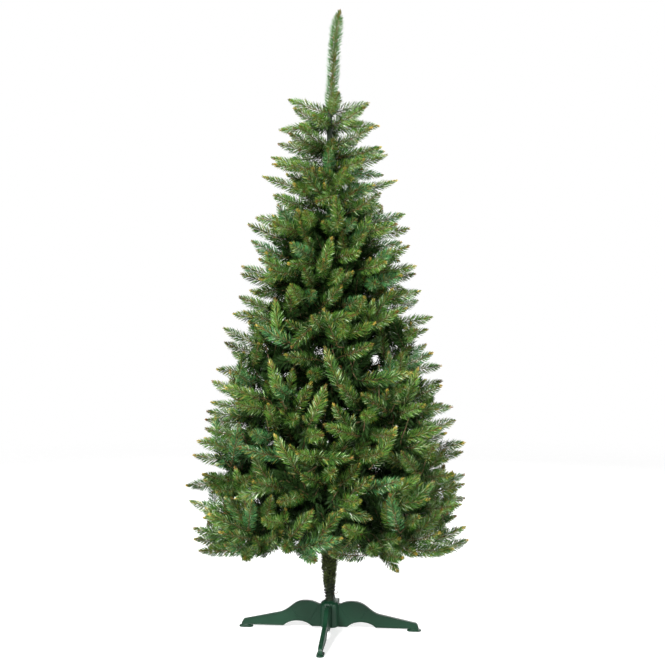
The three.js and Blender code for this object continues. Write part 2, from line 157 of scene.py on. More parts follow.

# Tones. The sprays are dealt the first three by these shares, or the deep one within a drawn share of the
# crown's reach: painted shade, which uses the shade material. The chances of the others go over them, needle
# by
# needle: cube is the share along a spray cubed, and core needles are shorter.
TONES = ["dark_green", "mid_green", "blue_green", "deep", "shade", "olive", "tip", "core", "pale"]
TONE = {name: number for number, name in enumerate(TONES)}
GREENS = [0.4, 0.47, 0.13]
DEEP_SHADE_WITHIN = (0.55, 0.8)
# Pale needles are painted highlights: a few light needles stand in for glints on the glossy strips
CHANCE = {"pale": 0.1, "olive": 0.08, "olive_cube": 0.26, "core": 0.12}
CORE_LENGTH = 0.42
# Painted shade: the chance of the shade tone is highest at a spray's foot and falls along it to a least
# share, and is lower where light reaches all of a twig
SHADED = {"foot": 0.88, "falls": 2.6, "least": 0.12, "open": 0.85}
TIPPED = {"from": 0.89, "rises": 8, "most": (0.3, 1), "tip_or_core": [0.6, 0.4]}

# The leader's brush: how far it is sunk and ends below the top, its slim S, its needles and its tones
BRUSH = {"needles": 2500, "sunk": 14, "below_top": 6, "lean_power": 1.3, "sway": 2.2, "off_axis": 0.9}
BRUSH_NEEDLE = {"length": 26, "varies": (0.88, 1.05), "core_length": 0.4, "spread": 60, "stray": 0.06}
BRUSH_TIP = {"from": 0.85, "shorter": 0.64, "power": 1.4, "closer": 36}
BRUSH_CHANCE = {"core": 0.45, "dark": 0.8, "brown": 0.4, "brown_tip": 0.5, "stray": 0.45}
BRUSH_TONES = ["blue_green", "dark_green", "core", "olive"]
BRUSH_WIRE = {"points": 40, "end": 0.995, "radii": (2.6, 1.1), "sides": 8, "twist": 0.9, "strand": 0.12}

# The garland's needles: from a height below the solid's, with their reach by height
GARLAND_NEEDLE = {"count": 5200, "bottom": 80, "above": 8, "stray": 0.4, "inset": 0.6, "width": 1.5}
GARLAND_LENGTH = {"inset": 9.5, "usual_spread": 50, "spread": (34, 78), "varies": (0.5, 1.2)}
GARLAND_REACH = ([80, 90, 109, 146, 183, 230], [11.2, 11.8, 15, 19.5, 24, 26])
GARLAND_GREEN = {"most": 0.6, "rises": 2.6, "from": 0.2}
GARLAND_END = {"points": 30, "sides": 6, "turns": 1.6, "coil": 4.2, "radius": 0.7}
GARLAND_END_RUN = ((11, -9, 104), (12, 2))  # its start, and how far it runs in x and y

# Stand, in millimetres. The hub's seams are 14 degrees to both sides of each leg.
HUB = {"radius": 26.9, "bore": 11.6, "seam": 2.4, "seam_at": 14, "seam_width": 2.6, "lobe": 1.1, "sides": 192}
HUB_OUTSIDE = {"from": 22, "over": 5}
LEG = {"turn": -5.5, "inner": 21, "hub_side": 29.5, "shoulder": 72, "hump": 81, "knee": 45, "toe": 24}
LEG_FOOT = {"bottom": 7, "arch_from": 52, "arch_to": 134, "arch_top": 27, "arch_curve": 18}
LEG_TOE = {"from": 246, "tip": 258, "turned": 0.98}
PLATE = {"half": 4, "rib": 6, "rib_depth": 3.2, "foot": 5.2, "foot_depth": 2.6, "round": 0.6, "hold": 0.5}
PLATE_SECTION = {"high": 60, "least": 13, "columns": 70, "toe_columns": 14, "corner": 0.3}
CREASE = {"off": 4.1, "radius": 0.75, "points": 10, "sides": 6}
CREASES = [[(33, 66), (57, 25)], [(110, 62), (92, 30)]]
PAD = {"centre": 245, "length": 41, "width": 21, "sides": 48}
PAD_PROFILE = [
    (0.88, 0), (0.95, 0.1), (0.99, 0.6), (1, 1.4), (1, 3.4), (0.985, 4.3), (0.94, 4.9), (0.86, 5.1),
    (0.7, 5.15), (0.62, 5.4), (0.6, 6.2), (0.6, 7.6),
]
LEG_NAMES = ["right", "back", "left", "front"]

# Finishes: their names, then roughness, the scales of the coarse and fine mottle, how far the colour drifts,
# relief and gloss
FINISHES = {
    "wire": ("wrapped wire", 0.7, 60, 900, 0.3, 0.5, 0.5),
    "shade": ("needles in the shade", 0.55, 26, 420, 0.4, 0.15, 0.12),
    "plastic": ("moulded plastic", 0.42, 18, 1500, 0.14, 0.12, 0.22),
    "pole": ("painted steel", 0.5, 40, 700, 0.3, 0.3, 0.2),
    "garland": ("garland", 0.55, 60, 500, 0.35, 0.2, 0.5),
    "garland_foot": ("garland foot", 0.55, 60, 500, 0.35, 0.2, 0.5),
}
NEEDLE_FINISH = (0.3, 26, 420, 0.5, 0.15, 0.5)
MOTTLE = {"blend": 0.45, "low": 0.32, "high": 0.68, "rough": 0.12, "cloud": 0.55, "details": (3.0, 5.0)}

# Stage, in metres and watts: each light's name, place, size and power
CAMERA = {"aside": 0.0087, "lens": 54.2, "sensor": 36}
LIGHTS = [
    ("key", (-1.7, -3.2, 2.6), 0.8, 345),
    ("fill", (2.6, -2.8, 1.4), 1.4, 115),
    ("top", (0.2, 0.0, 3.8), 1.4, 105),
    ("back", (0.6, 3.0, 2.2), 2.4, 90),
]
LIGHTS_AIM = (0, 0, 0.85)
SURROUND = 0.14
FLOOR = {"inner": 0.02, "outer": 9, "rings": 24, "sides": 96, "roughness": 0.8, "glow": 0.66}
FLOOR_FADE = (0.7, 5.5)
WHITE = (1, 1, 1, 1)


def seeded(seed):
    """Numbers from 0 to 1, the same for the same seed: a 32-bit counter is stirred by two products."""
    state = seed & WORD
    while True:
        state = (state + 0x6D2B79F5) & WORD
        mixed = ((state ^ (state >> 15)) * (state | 1)) & WORD
        mixed ^= (mixed + (((mixed ^ (mixed >> 7)) * (mixed | 61)) & WORD)) & WORD
        yield ((mixed ^ (mixed >> 14)) & WORD) / 2**32


def between(random, low, high):
    """The next seeded number, moved into a range."""
    return low + (high - low) * next(random)


def around(distance, degrees, height):
    """The point at a distance from the axis, an angle round it and a height."""
    angle = math.radians(degrees)
    return np.array([distance * math.cos(angle), distance * math.sin(angle), height])


def unit(vectors):
    """Vectors brought to a length of 1."""
    return vectors / np.maximum(np.linalg.norm(vectors, axis=-1, keepdims=True), 1e-9)


def crown_reach(height):
    """How far sprays reach from the pole: straight lines between the crown's foot, fullest height and top."""
    low, high = ("foot", "full") if height < CROWN["full"] else ("full", "top")
    share = (height - CROWN[low]) / (CROWN[high] - CROWN[low])
    return CROWN[low + "_reach"] + share * (CROWN[high + "_reach"] - CROWN[low + "_reach"])


def sized(least, size):
    """A share that goes with the size of a mass: the least one, and up to 1 at full size."""
    return least + (1 - least) * size


def stretch_gaps(a, b, c, d):
    """The least distances between the stretch [a, b] and each stretch [c, d], by clamped closest points."""
    u = b - a
    v = d - c
    w = a - c
    uu = u @ u
    uv = v @ u
    vv = np.einsum("ij,ij->i", v, v)
    uw = w @ u
    vw = np.einsum("ij,ij->i", v, w)
    slant = uu * vv - uv * uv
    crossing = slant > 1e-9
    first = np.where(crossing, np.clip((uv * vw - vv * uw) / np.where(crossing, slant, 1), 0, 1), 0)
    along_v = np.clip((uv * first + vw) / vv, 0, 1)
    along_u = np.clip((uv * along_v - uw) / uu, 0, 1)
    return np.linalg.norm(a + along_u[:, None] * u - c - along_v[:, None] * v, axis=1)


class Stretches:
    """Straight stretches that take up room, each with a radius and the number of its owner."""

    def __init__(self):
        self.rows = np.zeros((0, 8))

    def add(self, start, end, radius, owner):
        self.rows = np.vstack([self.rows, np.concatenate([start, end, [radius, owner]])])

    def is_free(self, start, end, radius, owner):
        """Whether a stretch keeps clear of all that others own."""
        others = self.rows[self.rows[:, 7] != owner]
        gaps = stretch_gaps(start, end, others[:, :3], others[:, 3:6])
        return bool((gaps > radius + others[:, 6] + GAP).all())

    def nearest(self, start, end):
        """The least gap between a stretch's axis and all the others' axes."""
        return stretch_gaps(start, end, self.rows[:, :3], self.rows[:, 3:6]).min()


class Mass:
    """A mass of foliage: a quarter of one tier of the crown, grown from its bough's tip or from the pole."""

    def __init__(self, tier, place):
        self.index = tier * TIER["masses"] + place
        self.random = seeded(SEED + self.index)
        lost = TIER_HEIGHT["step_loss"] * tier * (tier - 1) / 2
        self.height = TIER_HEIGHT["first"] + TIER_HEIGHT["step"] * tier - lost
        self.rise = RISE["first"] + (RISE["last"] - RISE["first"]) * tier / (TIER["count"] - 1)
        self.angle = 360 / TIER["masses"] * place + TIER["turn"] * (tier + 1)
        reach = crown_reach(self.height)
        self.has_bough = tier < TIER["with_boughs"]
        self.tip_height = self.height + reach * math.tan(math.radians(self.rise))
        surface = 2 * math.pi * crown_reach(self.tip_height) / TIER["masses"]
        self.frond_count = max(1, math.floor(surface / FROND["pitch"] + 0.5))
        self.room = 360 / TIER["masses"] / self.frond_count
        step = TIER_HEIGHT["step"] - TIER_HEIGHT["step_loss"] * tier
        self.half_depth = step / 2 + TIER_HEIGHT["overlap"]
        self.size = SMALLEST["length"] + (1 - SMALLEST["length"]) * reach / CROWN["full_reach"]
        rise = math.radians(self.rise)
        direction = around(math.cos(rise), self.angle, math.sin(rise))
        self.bearer = np.array([0, 0, self.height])
        bough = reach * BOUGH["share"] if self.has_bough else 0
        stem = reach * (STEM["bough_share"] if self.has_bough else STEM["pole_share"])
        self.start = self.bearer + direction * bough
        self.parting = self.bearer + direction * (bough + stem)
        self.fronds = []
        self.twigs = []

    def between(self, low, high):
        return between(self.random, low, high)

    def holds(self, point, margin):
        """Whether a point is in the mass's space: its quarter of the crown, between two slanting surfaces."""
        distance = math.hypot(point[0], point[1])
        off = math.degrees(math.atan2(point[1], point[0])) - self.angle
        aside = abs((off + 180) % 360 - 180)
        to_edge = distance * math.sin(math.radians(180 / TIER["masses"] - aside))
        above = point[2] - self.height - distance * math.tan(math.radians(self.rise))
        return to_edge > margin and abs(above) < self.half_depth and point[2] > CROWN["foot"]

    def add_spray(self, taken, foot, tip, wanted):
        """Adds a twig of the solids if it keeps to the mass's space and clear of what others own."""
        length = np.linalg.norm(tip - foot)
        bristled = min(wanted * self.size, length * SPRAY["most_bristled"])
        reach = SPRAY["reach"] * sized(SMALLEST["reach"], self.size)

        def along(share):
            return tip + (foot - tip) * (bristled * (1 - share) / length)

        stretches = [(foot + (tip - foot) * ROOM[0][0], along(ROOM[0][0]), SPRAY["stalk"] + 1)]
        stretches += [(along(start), along(end), reach * radius) for start, end, radius in ROOM]
        if not (self.holds(tip, 0) and self.holds(along(0.5), reach / 2)):
            return False
        spacing = SPRAY["tip_spacing"] * self.size
        if any(np.linalg.norm(other[1] - tip) <= spacing for other in self.twigs):
            return False
        if not all(taken.is_free(*stretch, self.index) for stretch in stretches):
            return False
        for stretch in stretches:
            taken.add(*stretch, self.index)
        self.twigs.append((foot, tip))
        return True

    def seek_room(self, taken, foot, degrees, height, deep, wanted):
        """Tries places that stray further and further from the wanted one on the crown's surface."""
        for attempt in range(STRAY["tries"]):
            strays = STRAY["start"] + attempt / STRAY["tries"]
            tip_height = height + self.between(-STRAY["height"], STRAY["height"]) * self.half_depth * strays
            clear_height = max(tip_height, CROWN["foot"] + self.between(*STRAY["above_foot"]))
            across = degrees + self.between(-STRAY["across"], STRAY["across"]) * self.room * strays
            distance = crown_reach(clear_height) * deep * self.between(1 - STRAY["depth"], 1)
            tip = around(distance, across, clear_height)
            if self.add_spray(taken, foot, tip, wanted):
                return tip
        return None

    def grow_fronds(self, taken):
        """The stem parts into fronds that fan out."""
        for i in range(self.frond_count):
            way = 1 if i % 2 else -1
            middle = self.angle + self.room * (i + 0.5 - self.frond_count / 2)
            height = self.tip_height + way * FROND["sway"] * self.half_depth
            tip = self.seek_room(taken, self.parting, middle, height, 1, FROND["bristled"])
            if tip is not None:
                self.fronds.append((tip, way, middle))

    def grow_side_sprays(self, taken, borne, side, above, deep, on_all):
        """Each frond, or every second one, bears a spray at one of the places."""
        for tip, way, middle in self.fronds:
            if on_all or way > 0:
                foot = self.parting + (tip - self.parting) * borne
                height = self.tip_height + way * above * self.half_depth
                self.seek_room(taken, foot, middle + way * side * self.room, height, deep, SPRAY["length"])


class Twig:
    """A wire from its foot to its tip, which ends in a bristled stretch along the head's direction."""

    def __init__(self, foot, tip, head, bristled):
        self.foot = foot
        self.tip = tip
        self.head = head
        self.bristled = min(bristled, REAL_SPRAY["most_bristled"] * np.linalg.norm(tip - foot))
        self.neck = tip - head * self.bristled

    def along(self, share):
        """A point on the bristled stretch, at a share of the way from the neck to the tip."""
        return self.neck + (self.tip - self.neck) * share


def lowest(point):
    """The height that no twig hangs below: it rises towards the front."""
    return CROWN["foot"] + OPEN["foot"] + OPEN["tilt"] * max(0, -point[1])


def heading(run, lift, turn, most):
    """The direction of a run with its climb brought nearer to level, raised and turned by some degrees."""
    climb = math.degrees(math.atan2(run[2], math.hypot(run[0], run[1])))
    climb = math.radians(min(most, max(HEAD["least_climb"], HEAD["kept_climb"] * climb + lift)))
    course = math.degrees(math.atan2(run[1], run[0])) + turn
    return around(math.cos(climb), course, math.sin(climb))


@functools.lru_cache(maxsize=1)
def grow_crown():
    """The masses with the twigs of the solids, and the full list of twigs with the finer ones."""
    taken = Stretches()
    trunk = -1
    pole_top = np.array([0, 0, POLE["top"]])
    taken.add(np.zeros(3), pole_top, POLE["foot_radius"], trunk)
    taken.add(pole_top, np.array([LEADER["lean"], 0, HEIGHT]), LEADER["reach"], trunk)
    garland = [np.array([0, 0, GARLAND[end]]) for end in ("bottom", "top")]
    taken.add(*garland, GARLAND["top_radius"] * GARLAND["tooth"], trunk)
    masses = [Mass(tier, place) for tier in range(TIER["count"]) for place in range(TIER["masses"])]
    for mass in boughed(masses):
        taken.add(mass.bearer, mass.start, BOUGH["base_radius"], mass.index)
    for mass in masses:
        mass.grow_fronds(taken)
    for place in SIDE_SPRAYS:
        for mass in masses:
            mass.grow_side_sprays(taken, *place)
    return masses, grow_fine_twigs(masses)


def boughed(masses):
    """The masses that grow on from a bough."""
    return [mass for mass in masses if mass.has_bough]


def spray_length(height):
    """A real spray's bristled length, which falls evenly from the full crown to its top."""
    share = min(1, max(0, (height - CROWN["full"]) / (CROWN["top"] - CROWN["full"])))
    return REAL_SPRAY["full"] + (REAL_SPRAY["top"] - REAL_SPRAY["full"]) * share


class FineTwigs:
    """All twigs of the crown, which keep their tips and their bristled stretches apart."""

    def __init__(self):
        self.twigs = []
        self.tips = np.zeros((0, 3))
        self.axes = Stretches()

    def keep(self, twig):
        self.twigs.append(twig)
        self.tips = np.vstack([self.tips, twig.tip])
        self.axes.add(twig.along(AXIS_FROM["kept"]), twig.tip, 0, 0)

    def has_room(self, twig, size, crowding=1.0):
        """Whether a twig's tip is in the crown's reach and its spray clear of the others."""
        if min(end[2] - lowest(end) for end in (twig.tip, twig.neck)) < 0:
            return False
        distance = math.hypot(twig.tip[0], twig.tip[1])
        if not FINE_ROOM["from_pole"] < distance < crown_reach(twig.tip[2]) - FINE_ROOM["behind_tips"]:
            return False
        spacing = FINE_ROOM["tips"] * sized(FINE_ROOM["least_tips"], size) * crowding
        if twig.tip[2] > FINE_ROOM["highest"] or np.linalg.norm(self.tips - twig.tip, axis=1).min() < spacing:
            return False
        return self.axes.nearest(twig.along(AXIS_FROM["tried"]), twig.tip) > FINE_ROOM["axes"] * crowding

    def seek_room(self, mass, foot, tip, behind, way):
        """A finer twig that forks off to one side of its bearer, at a distance behind the bearer's tip."""
        run = tip - foot
        length = np.linalg.norm(run)
        share = 1 - behind * sized(FINE["closest"], mass.size) / length
        if share < FINE["least_share"]:
            return
        start = foot + run * share
        forward = run / length
        side = unit(np.cross(forward, [0.0, 0.0, 1.0])) * way
        rising = np.cross(side, forward) * way
        for _ in range(FINE["tries"]):
            fork = math.radians(mass.between(*FORK["angle"]))
            roll = math.radians(mass.between(-FORK["roll"], FORK["roll"]))
            outward = math.cos(roll) * side + math.sin(roll) * rising
            course = math.cos(fork) * forward + math.sin(fork) * outward
            bristled = spray_length(start[2]) * mass.between(*FINE_LENGTH["bristled"])
            tip_at = start + course * bristled * mass.between(*FINE_LENGTH["whole"])
            head = unit(course + np.array([0, 0, FINE["lift"] * mass.between(0, 1)]))
            twig = Twig(start, tip_at, head, bristled)
            if self.has_room(twig, mass.size):
                self.keep(twig)
                return


def settled(mass, foot, tip):
    """A twig of the solids as it is drawn: above the boughs it springs straight from the pole."""
    wider = np.interp(tip[2], *WIDER)
    tip = tip * np.array([wider, wider, 1])
    distance = math.hypot(tip[0], tip[1])
    height = min(tip[2], SETTLED["highest"])
    fade = (FRONT_LIFT["none"] - height) / (FRONT_LIFT["none"] - FRONT_LIFT["full"])
    height += FRONT_LIFT["most"] * max(0, -tip[1] / distance) * min(1, max(0, fade))
    tip = np.array([tip[0], tip[1], height])
    if not mass.has_bough:
        low = height - distance * math.tan(math.radians(SETTLED["steepest"]))
        near = tip[:2] / distance * TWIG_FOOT
        foot = np.array([near[0], near[1], max(foot[2], low)])
    return foot, tip


def grow_fine_twigs(masses):
    """Every twig of the solids, then finer ones on them, the boughs and the pole, where room is left."""
    fine = FineTwigs()
    for mass in masses:
        mass.twigs = [settled(mass, foot, tip) for foot, tip in mass.twigs]
        for foot, tip in mass.twigs:
            bristled = spray_length(tip[2]) * mass.between(*REAL_SPRAY["varies"])
            drop = min(HEAD["most_drop"], max(0, tip[2] - lowest(tip)) / bristled)
            lift = mass.between(*HEAD["lift"])
            turn = mass.between(-HEAD["turn"], HEAD["turn"])
            head = heading(tip - foot, lift, turn, math.degrees(math.asin(drop)))
            if tip[2] > SETTLED["bristled_whole"]:
                head, bristled = unit(tip - foot), np.linalg.norm(tip - foot)
            fine.keep(Twig(foot, tip, head, bristled))
    grow_whorl(fine)
    foot, tip, head = (np.array(HOOKED[key], dtype=float) for key in ("foot", "tip", "head"))
    fine.keep(Twig(foot, tip, unit(head), HOOKED["bristled"]))
    for behind in FINE_STEPS:
        for mass in masses:
            for foot, tip in mass.twigs:
                for way in (1, -1):
                    fine.seek_room(mass, foot, tip, behind, way)
    for behind in FINE_STEPS:
        for mass in boughed(masses):
            for way in (1, -1):
                fine.seek_room(mass, mass.bearer, mass.parting, behind - FINE["nearer_on_boughs"], way)
    grow_pole_twigs(fine)
    return fine.twigs


def grow_whorl(fine):
    """A ring of twigs that spring from the pole between the two highest tiers, bristled all the way."""
    random = seeded(SEED - 2)
    for number in range(WHORL["twigs"]):
        course = 360 / WHORL["twigs"] * (number + between(random, 0, WHORL_STRAY["turn"]))
        foot = around(TWIG_FOOT, course, WHORL["height"] + between(random, 0, WHORL["depth"]))
        reach = crown_reach(foot[2]) * (1 - between(random, 0, WHORL_STRAY["shorter"]))
        climb = math.radians(WHORL["climb"] * between(random, *WHORL["climb_share"]))
        tip = around(reach, course, foot[2] + reach * math.tan(climb))
        fine.keep(Twig(foot, tip, unit(tip - foot), np.linalg.norm(tip - foot)))


def grow_pole_twigs(fine):
    """Twigs straight from the pole, one above the other and each turned by the golden angle from the last."""
    random = seeded(SEED - 1)
    steps = int((POLE_TWIGS["last"] - POLE_TWIGS["first"]) / POLE_TWIGS["pitch"])
    for step in range(steps + 1):
        height = POLE_TWIGS["first"] + POLE_TWIGS["pitch"] * step
        for _ in range(POLE_TWIGS["tries"]):
            course = POLE_TWIGS["turn"] * step + between(random, 0, POLE_TWIGS["stray"])
            climb = math.radians(between(random, *POLE_TWIG["climb"]))
            head = around(math.cos(climb), course, math.sin(climb))
            foot = around(TWIG_FOOT, course, height)
            bristled = POLE_TWIG["length"] * between(random, *POLE_TWIG["varies"])
            twig = Twig(foot, foot + head * bristled * POLE_TWIG["whole"], head, bristled)
            if fine.has_room(twig, POLE_TWIG["size"], CROWDING):
                fine.keep(twig)
                break


# Meshes


def add_piece(name, vertices, faces, material, slot, replaced, smooth=True):
    """A mesh object in metres, at the origin, from arrays of points and of faces with equal corner counts."""
    mesh = bpy.data.meshes.new(name)
    mesh.vertices.add(len(vertices))
    mesh.vertices.foreach_set("co", np.ascontiguousarray(vertices * MM, dtype=np.float32).ravel())
    sizes = np.concatenate([np.full(len(group), group.shape[1]) for group in faces])
    corners = np.concatenate([group.ravel() for group in faces]).astype(np.int32)
    mesh.loops.add(len(corners))
    mesh.loops.foreach_set("vertex_index", corners)
    mesh.polygons.add(len(sizes))
    mesh.polygons.foreach_set("loop_start", np.concatenate([[0], np.cumsum(sizes)[:-1]]).astype(np.int32))
    mesh.polygons.foreach_set("use_smooth", np.full(len(sizes), smooth))
    mesh.update(calc_edges=True)
    if mesh.validate():
        raise RuntimeError(f"the mesh of {name} has faces that can't be used")
    mesh.materials.append(material)
    made = bpy.data.objects.new(name, mesh)
    bpy.context.scene.collection.objects.link(made)
    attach(made, BODY)
    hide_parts(*replaced)


def add_needles(name, needles, chosen, key, replaced):
    """A piece of the chosen ones among many needles, with flat faces, in the material of a key."""
    points, faces = needle_mesh(*(values[chosen] for values in needles))
    add_piece(name, points, [faces], material_of(key), "needles", replaced, smooth=False)


def nodes_named(start):
    """The frame's nodes whose names start in the same way."""
    return [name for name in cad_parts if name.startswith(start)]


def grid_faces(rows, columns, closed_rows=False):
    """The four-cornered faces of a grid of points, rows long and closed round its columns."""
    a, b = np.meshgrid(np.arange(rows if closed_rows else rows - 1), np.arange(columns), indexing="ij")
    this_row, next_row = a * columns, (a + 1) % rows * columns
    next_column = (b + 1) % columns
    corners = [this_row + b, this_row + next_column, next_row + next_column, next_row + b]
    return np.stack(corners, axis=-1).reshape(-1, 4)


def tube_faces(rows, columns):
    """A grid's faces, and triangles at each end round a middle point. These two points follow the grid's."""
    ring = np.arange(columns)
    after = (ring + 1) % columns
    last = (rows - 1) * columns
    foot = np.stack([after, ring, np.full(columns, rows * columns)], axis=1)
    tip = np.stack([last + ring, last + after, np.full(columns, rows * columns + 1)], axis=1)
    return [grid_faces(rows, columns), np.concatenate([foot, tip])]


def end_faces(rows, columns):
    """The first and the last row of a grid as faces that look outward."""
    return np.stack([np.arange(columns)[::-1], (rows - 1) * columns + np.arange(columns)])


def circle(sides):
    """Angles in even steps once round."""
    return np.linspace(0, 2 * np.pi, sides, endpoint=False)


def turned(reach, angle, height):
    """Points at distances from the pole's axis, angles round it and heights: (r cos t, r sin t, z)."""
    return np.stack(np.broadcast_arrays(reach * np.cos(angle), reach * np.sin(angle), height), axis=-1)


def cross_frames(tangents):
    """Two directions square to each tangent: the first is level, and the second completes the frame."""
    level = np.cross(tangents, [0.0, 0.0, 1.0])
    flat = np.linalg.norm(level, axis=-1, keepdims=True) < 0.05
    level = np.where(flat, np.cross(tangents, [0.0, 1.0, 0.0]), level)
    first = unit(level)
    return first, np.cross(first, tangents)


def tubes(paths, radii, sides, twist=0.0, strand=0.0):
    """Round tubes along many paths at once: paths is (tubes, points, 3) and radii is (tubes, points).

    A point at angle t of a ring is the path's point plus radius * (1 + strand * cos(2 t - twist * row)) along
    cos t * first + sin t * second. Both ends are closed with a point in the middle.
    """
    count, length, _ = paths.shape
    first, second = cross_frames(unit(np.gradient(paths, axis=1)))
    angle = circle(sides)
    swell = 1 + strand * np.cos(2 * angle - twist * np.arange(length)[:, None])
    out = np.cos(angle)[:, None] * first[:, :, None] + np.sin(angle)[:, None] * second[:, :, None]
    rings = paths[:, :, None] + out * (radii[:, :, None] * swell)[..., None]
    caps = np.stack([paths[:, 0], paths[:, -1]], axis=1)
    points = np.concatenate([rings.reshape(count, -1, 3), caps], axis=1).reshape(-1, 3)
    shift = (np.arange(count) * (length * sides + 2))[:, None, None]
    groups = [group[:, ::-1] for group in tube_faces(length, sides)]
    return points, [(group + shift).reshape(-1, group.shape[1]) for group in groups]


def bezier(a, b, c, d, shares):
    """Points of many cubic curves at the same shares: (1-s)^3 a + 3 s (1-s)^2 b + 3 s^2 (1-s) c + s^3 d."""
    s = np.asarray(shares)[None, :, None]
    corners = [corner[:, None, :] for corner in (a, b, c, d)]
    weights = [(1 - s) ** 3, 3 * s * (1 - s) ** 2, 3 * s**2 * (1 - s), s**3]
    return sum(weight * corner for weight, corner in zip(weights, corners))


def needle_mesh(roots, runs, outs, lengths, spreads, widths, rolls):
    """Needles as long kites: a root, two side points and a tip, with two faces.

    A needle leaves its root along cos(spread) * run + sin(spread) * out, and its outer part bends a little
    towards the run. The side points lie to both sides along cos(roll) * side + sin(roll) * top.
    """
    spread = spreads[:, None]
    direction = np.cos(spread) * runs + np.sin(spread) * outs
    bent = unit(direction + NEEDLE["bend"] * runs)
    side = unit(np.cross(runs, outs))
    top = np.cross(side, direction)
    across = (np.cos(rolls)[:, None] * side + np.sin(rolls)[:, None] * top) * (widths / 2)[:, None]
    length = lengths[:, None]
    middle = roots + direction * length * NEEDLE["widest"]
    end = middle + bent * length * (1 - NEEDLE["widest"])
    points = np.stack([roots, middle + across, middle - across, end], axis=1)
    faces = np.array([[0, 1, 2], [2, 1, 3]])
    shift = (np.arange(len(roots)) * 4)[:, None, None]
    return points.reshape(-1, 3), (faces + shift).reshape(-1, 3)


def twig_arrays(twigs):
    """The twigs' feet, necks, tips and heads as arrays."""
    return tuple(np.array([getattr(twig, key) for twig in twigs]) for key in ("foot", "neck", "tip", "head"))


def stalk_paths(twigs, shares):
    """Points along each twig's bare wire, a cubic curve that leaves its foot outward and joins the head."""
    foot, neck, _, head = twig_arrays(twigs)
    span = np.linalg.norm(neck - foot, axis=1, keepdims=True)
    leaving = foot + (neck - foot) * STALK["leaves"]
    return bezier(foot, leaving, neck - head * span * STALK["joins"], neck, shares)


def bristled_points(twigs, index, share):
    """Points along the bristled stretches, which sag in the middle: neck + s (tip - neck) - sag 4 s (1-s)."""
    _, neck, tip, _ = twig_arrays(twigs)
    points = neck[index] + (tip - neck)[index] * share[:, None]
    points[:, 2] -= SAG * 4 * share * (1 - share)
    return points


def twig_wires(twigs):
    """Tubes along the twigs: first the stalk's curve, then the bristled stretch, thinner towards the tip."""
    stalks = stalk_paths(twigs, np.linspace(0, 1, WIRE["stalk_points"]))
    shares = np.linspace(0, 1, WIRE["head_points"])[1:]
    index = np.repeat(np.arange(len(twigs)), len(shares))
    heads = bristled_points(twigs, index, np.tile(shares, len(twigs))).reshape(len(twigs), -1, 3)
    paths = np.concatenate([stalks, heads], axis=1)
    radii = np.linspace(WIRE["foot_radius"], WIRE["tip_radius"], paths.shape[1])
    return tubes(paths, np.tile(radii, (len(twigs), 1)), WIRE["sides"])


def limb_paths(masses, shares):
    """Points on the straight limbs, each a bough with its stem: bearer + s (parting - bearer)."""
    shares = shares[:, None]
    return np.array([mass.bearer + (mass.parting - mass.bearer) * shares for mass in boughed(masses)])


# Colours


def set_inputs(tree, node, inputs):
    """Gives a node's inputs, by name or number, a value or another node's socket."""
    for key, value in inputs.items():
        if isinstance(value, bpy.types.NodeSocket):
            tree.links.new(value, node.inputs[key])
        else:
            node.inputs[key].default_value = value
    return node


def add_node(tree, kind, inputs=None, **settings):
    """A node with its settings and its inputs."""
    node = tree.nodes.new(kind)
    for key, value in settings.items():
        setattr(node, key, value)
    return set_inputs(tree, node, inputs or {})


def add_sockets(group, way, sockets):
    """The sockets of a node group on one side, by name with their defaults: a colour or a number."""
    for name, value in sockets.items():
        kind = "NodeSocketColor" if name == "Colour" else "NodeSocketFloat"
        group.interface.new_socket(name, in_out=way, socket_type=kind).default_value = value


def mottle_group():
    """The mottled finish, made once: colour whose brightness drifts by two noises, coarse and fine.

    The roughness goes along with the drift, and the height is the fine noise.
    """
    found = bpy.data.node_groups.get("mottled finish")
    if found:
        return found
    group = bpy.data.node_groups.new("mottled finish", "ShaderNodeTree")
    both = {"Colour": (0.5, 0.5, 0.5, 1), "Roughness": 0.5}
    add_sockets(group, "INPUT", {**both, "Coarse": 20.0, "Fine": 300.0, "Amount": 0.2})
    add_sockets(group, "OUTPUT", {**both, "Height": 0.0})
    given = group.nodes.new("NodeGroupInput").outputs
    place = group.nodes.new("ShaderNodeTexCoord").outputs["Object"]
    noises = []
    for scale, detail in zip(("Coarse", "Fine"), MOTTLE["details"]):
        inputs = {"Vector": place, "Scale": given[scale], "Detail": detail, "Roughness": MOTTLE["cloud"]}
        noises.append(add_node(group, "ShaderNodeTexNoise", inputs).outputs[0])
    inputs = {0: MOTTLE["blend"], 2: noises[0], 3: noises[1]}
    blend = add_node(group, "ShaderNodeMix", inputs, data_type="FLOAT").outputs[0]
    inputs = {0: blend, 1: MOTTLE["low"], 2: MOTTLE["high"], 3: -1.0, 4: 1.0}
    centred = add_node(group, "ShaderNodeMapRange", inputs).outputs[0]
    inputs = {0: centred, 1: given["Amount"], 2: 1.0}
    drift = add_node(group, "ShaderNodeMath", inputs, operation="MULTIPLY_ADD").outputs[0]
    bright = add_node(group, "ShaderNodeHueSaturation", {"Value": drift, "Color": given["Colour"]}).outputs[0]
    inputs = {0: centred, 1: MOTTLE["rough"], 2: given["Roughness"]}
    rough = add_node(group, "ShaderNodeMath", inputs, operation="MULTIPLY_ADD").outputs[0]
    add_node(group, "NodeGroupOutput", {"Colour": bright, "Roughness": rough, "Height": noises[1]})
    return group


def new_material(name):
    """A material, with its node tree and its shader."""
    material = bpy.data.materials.new(name)
    material.use_nodes = True
    return material, material.node_tree, material.node_tree.nodes["Principled BSDF"]


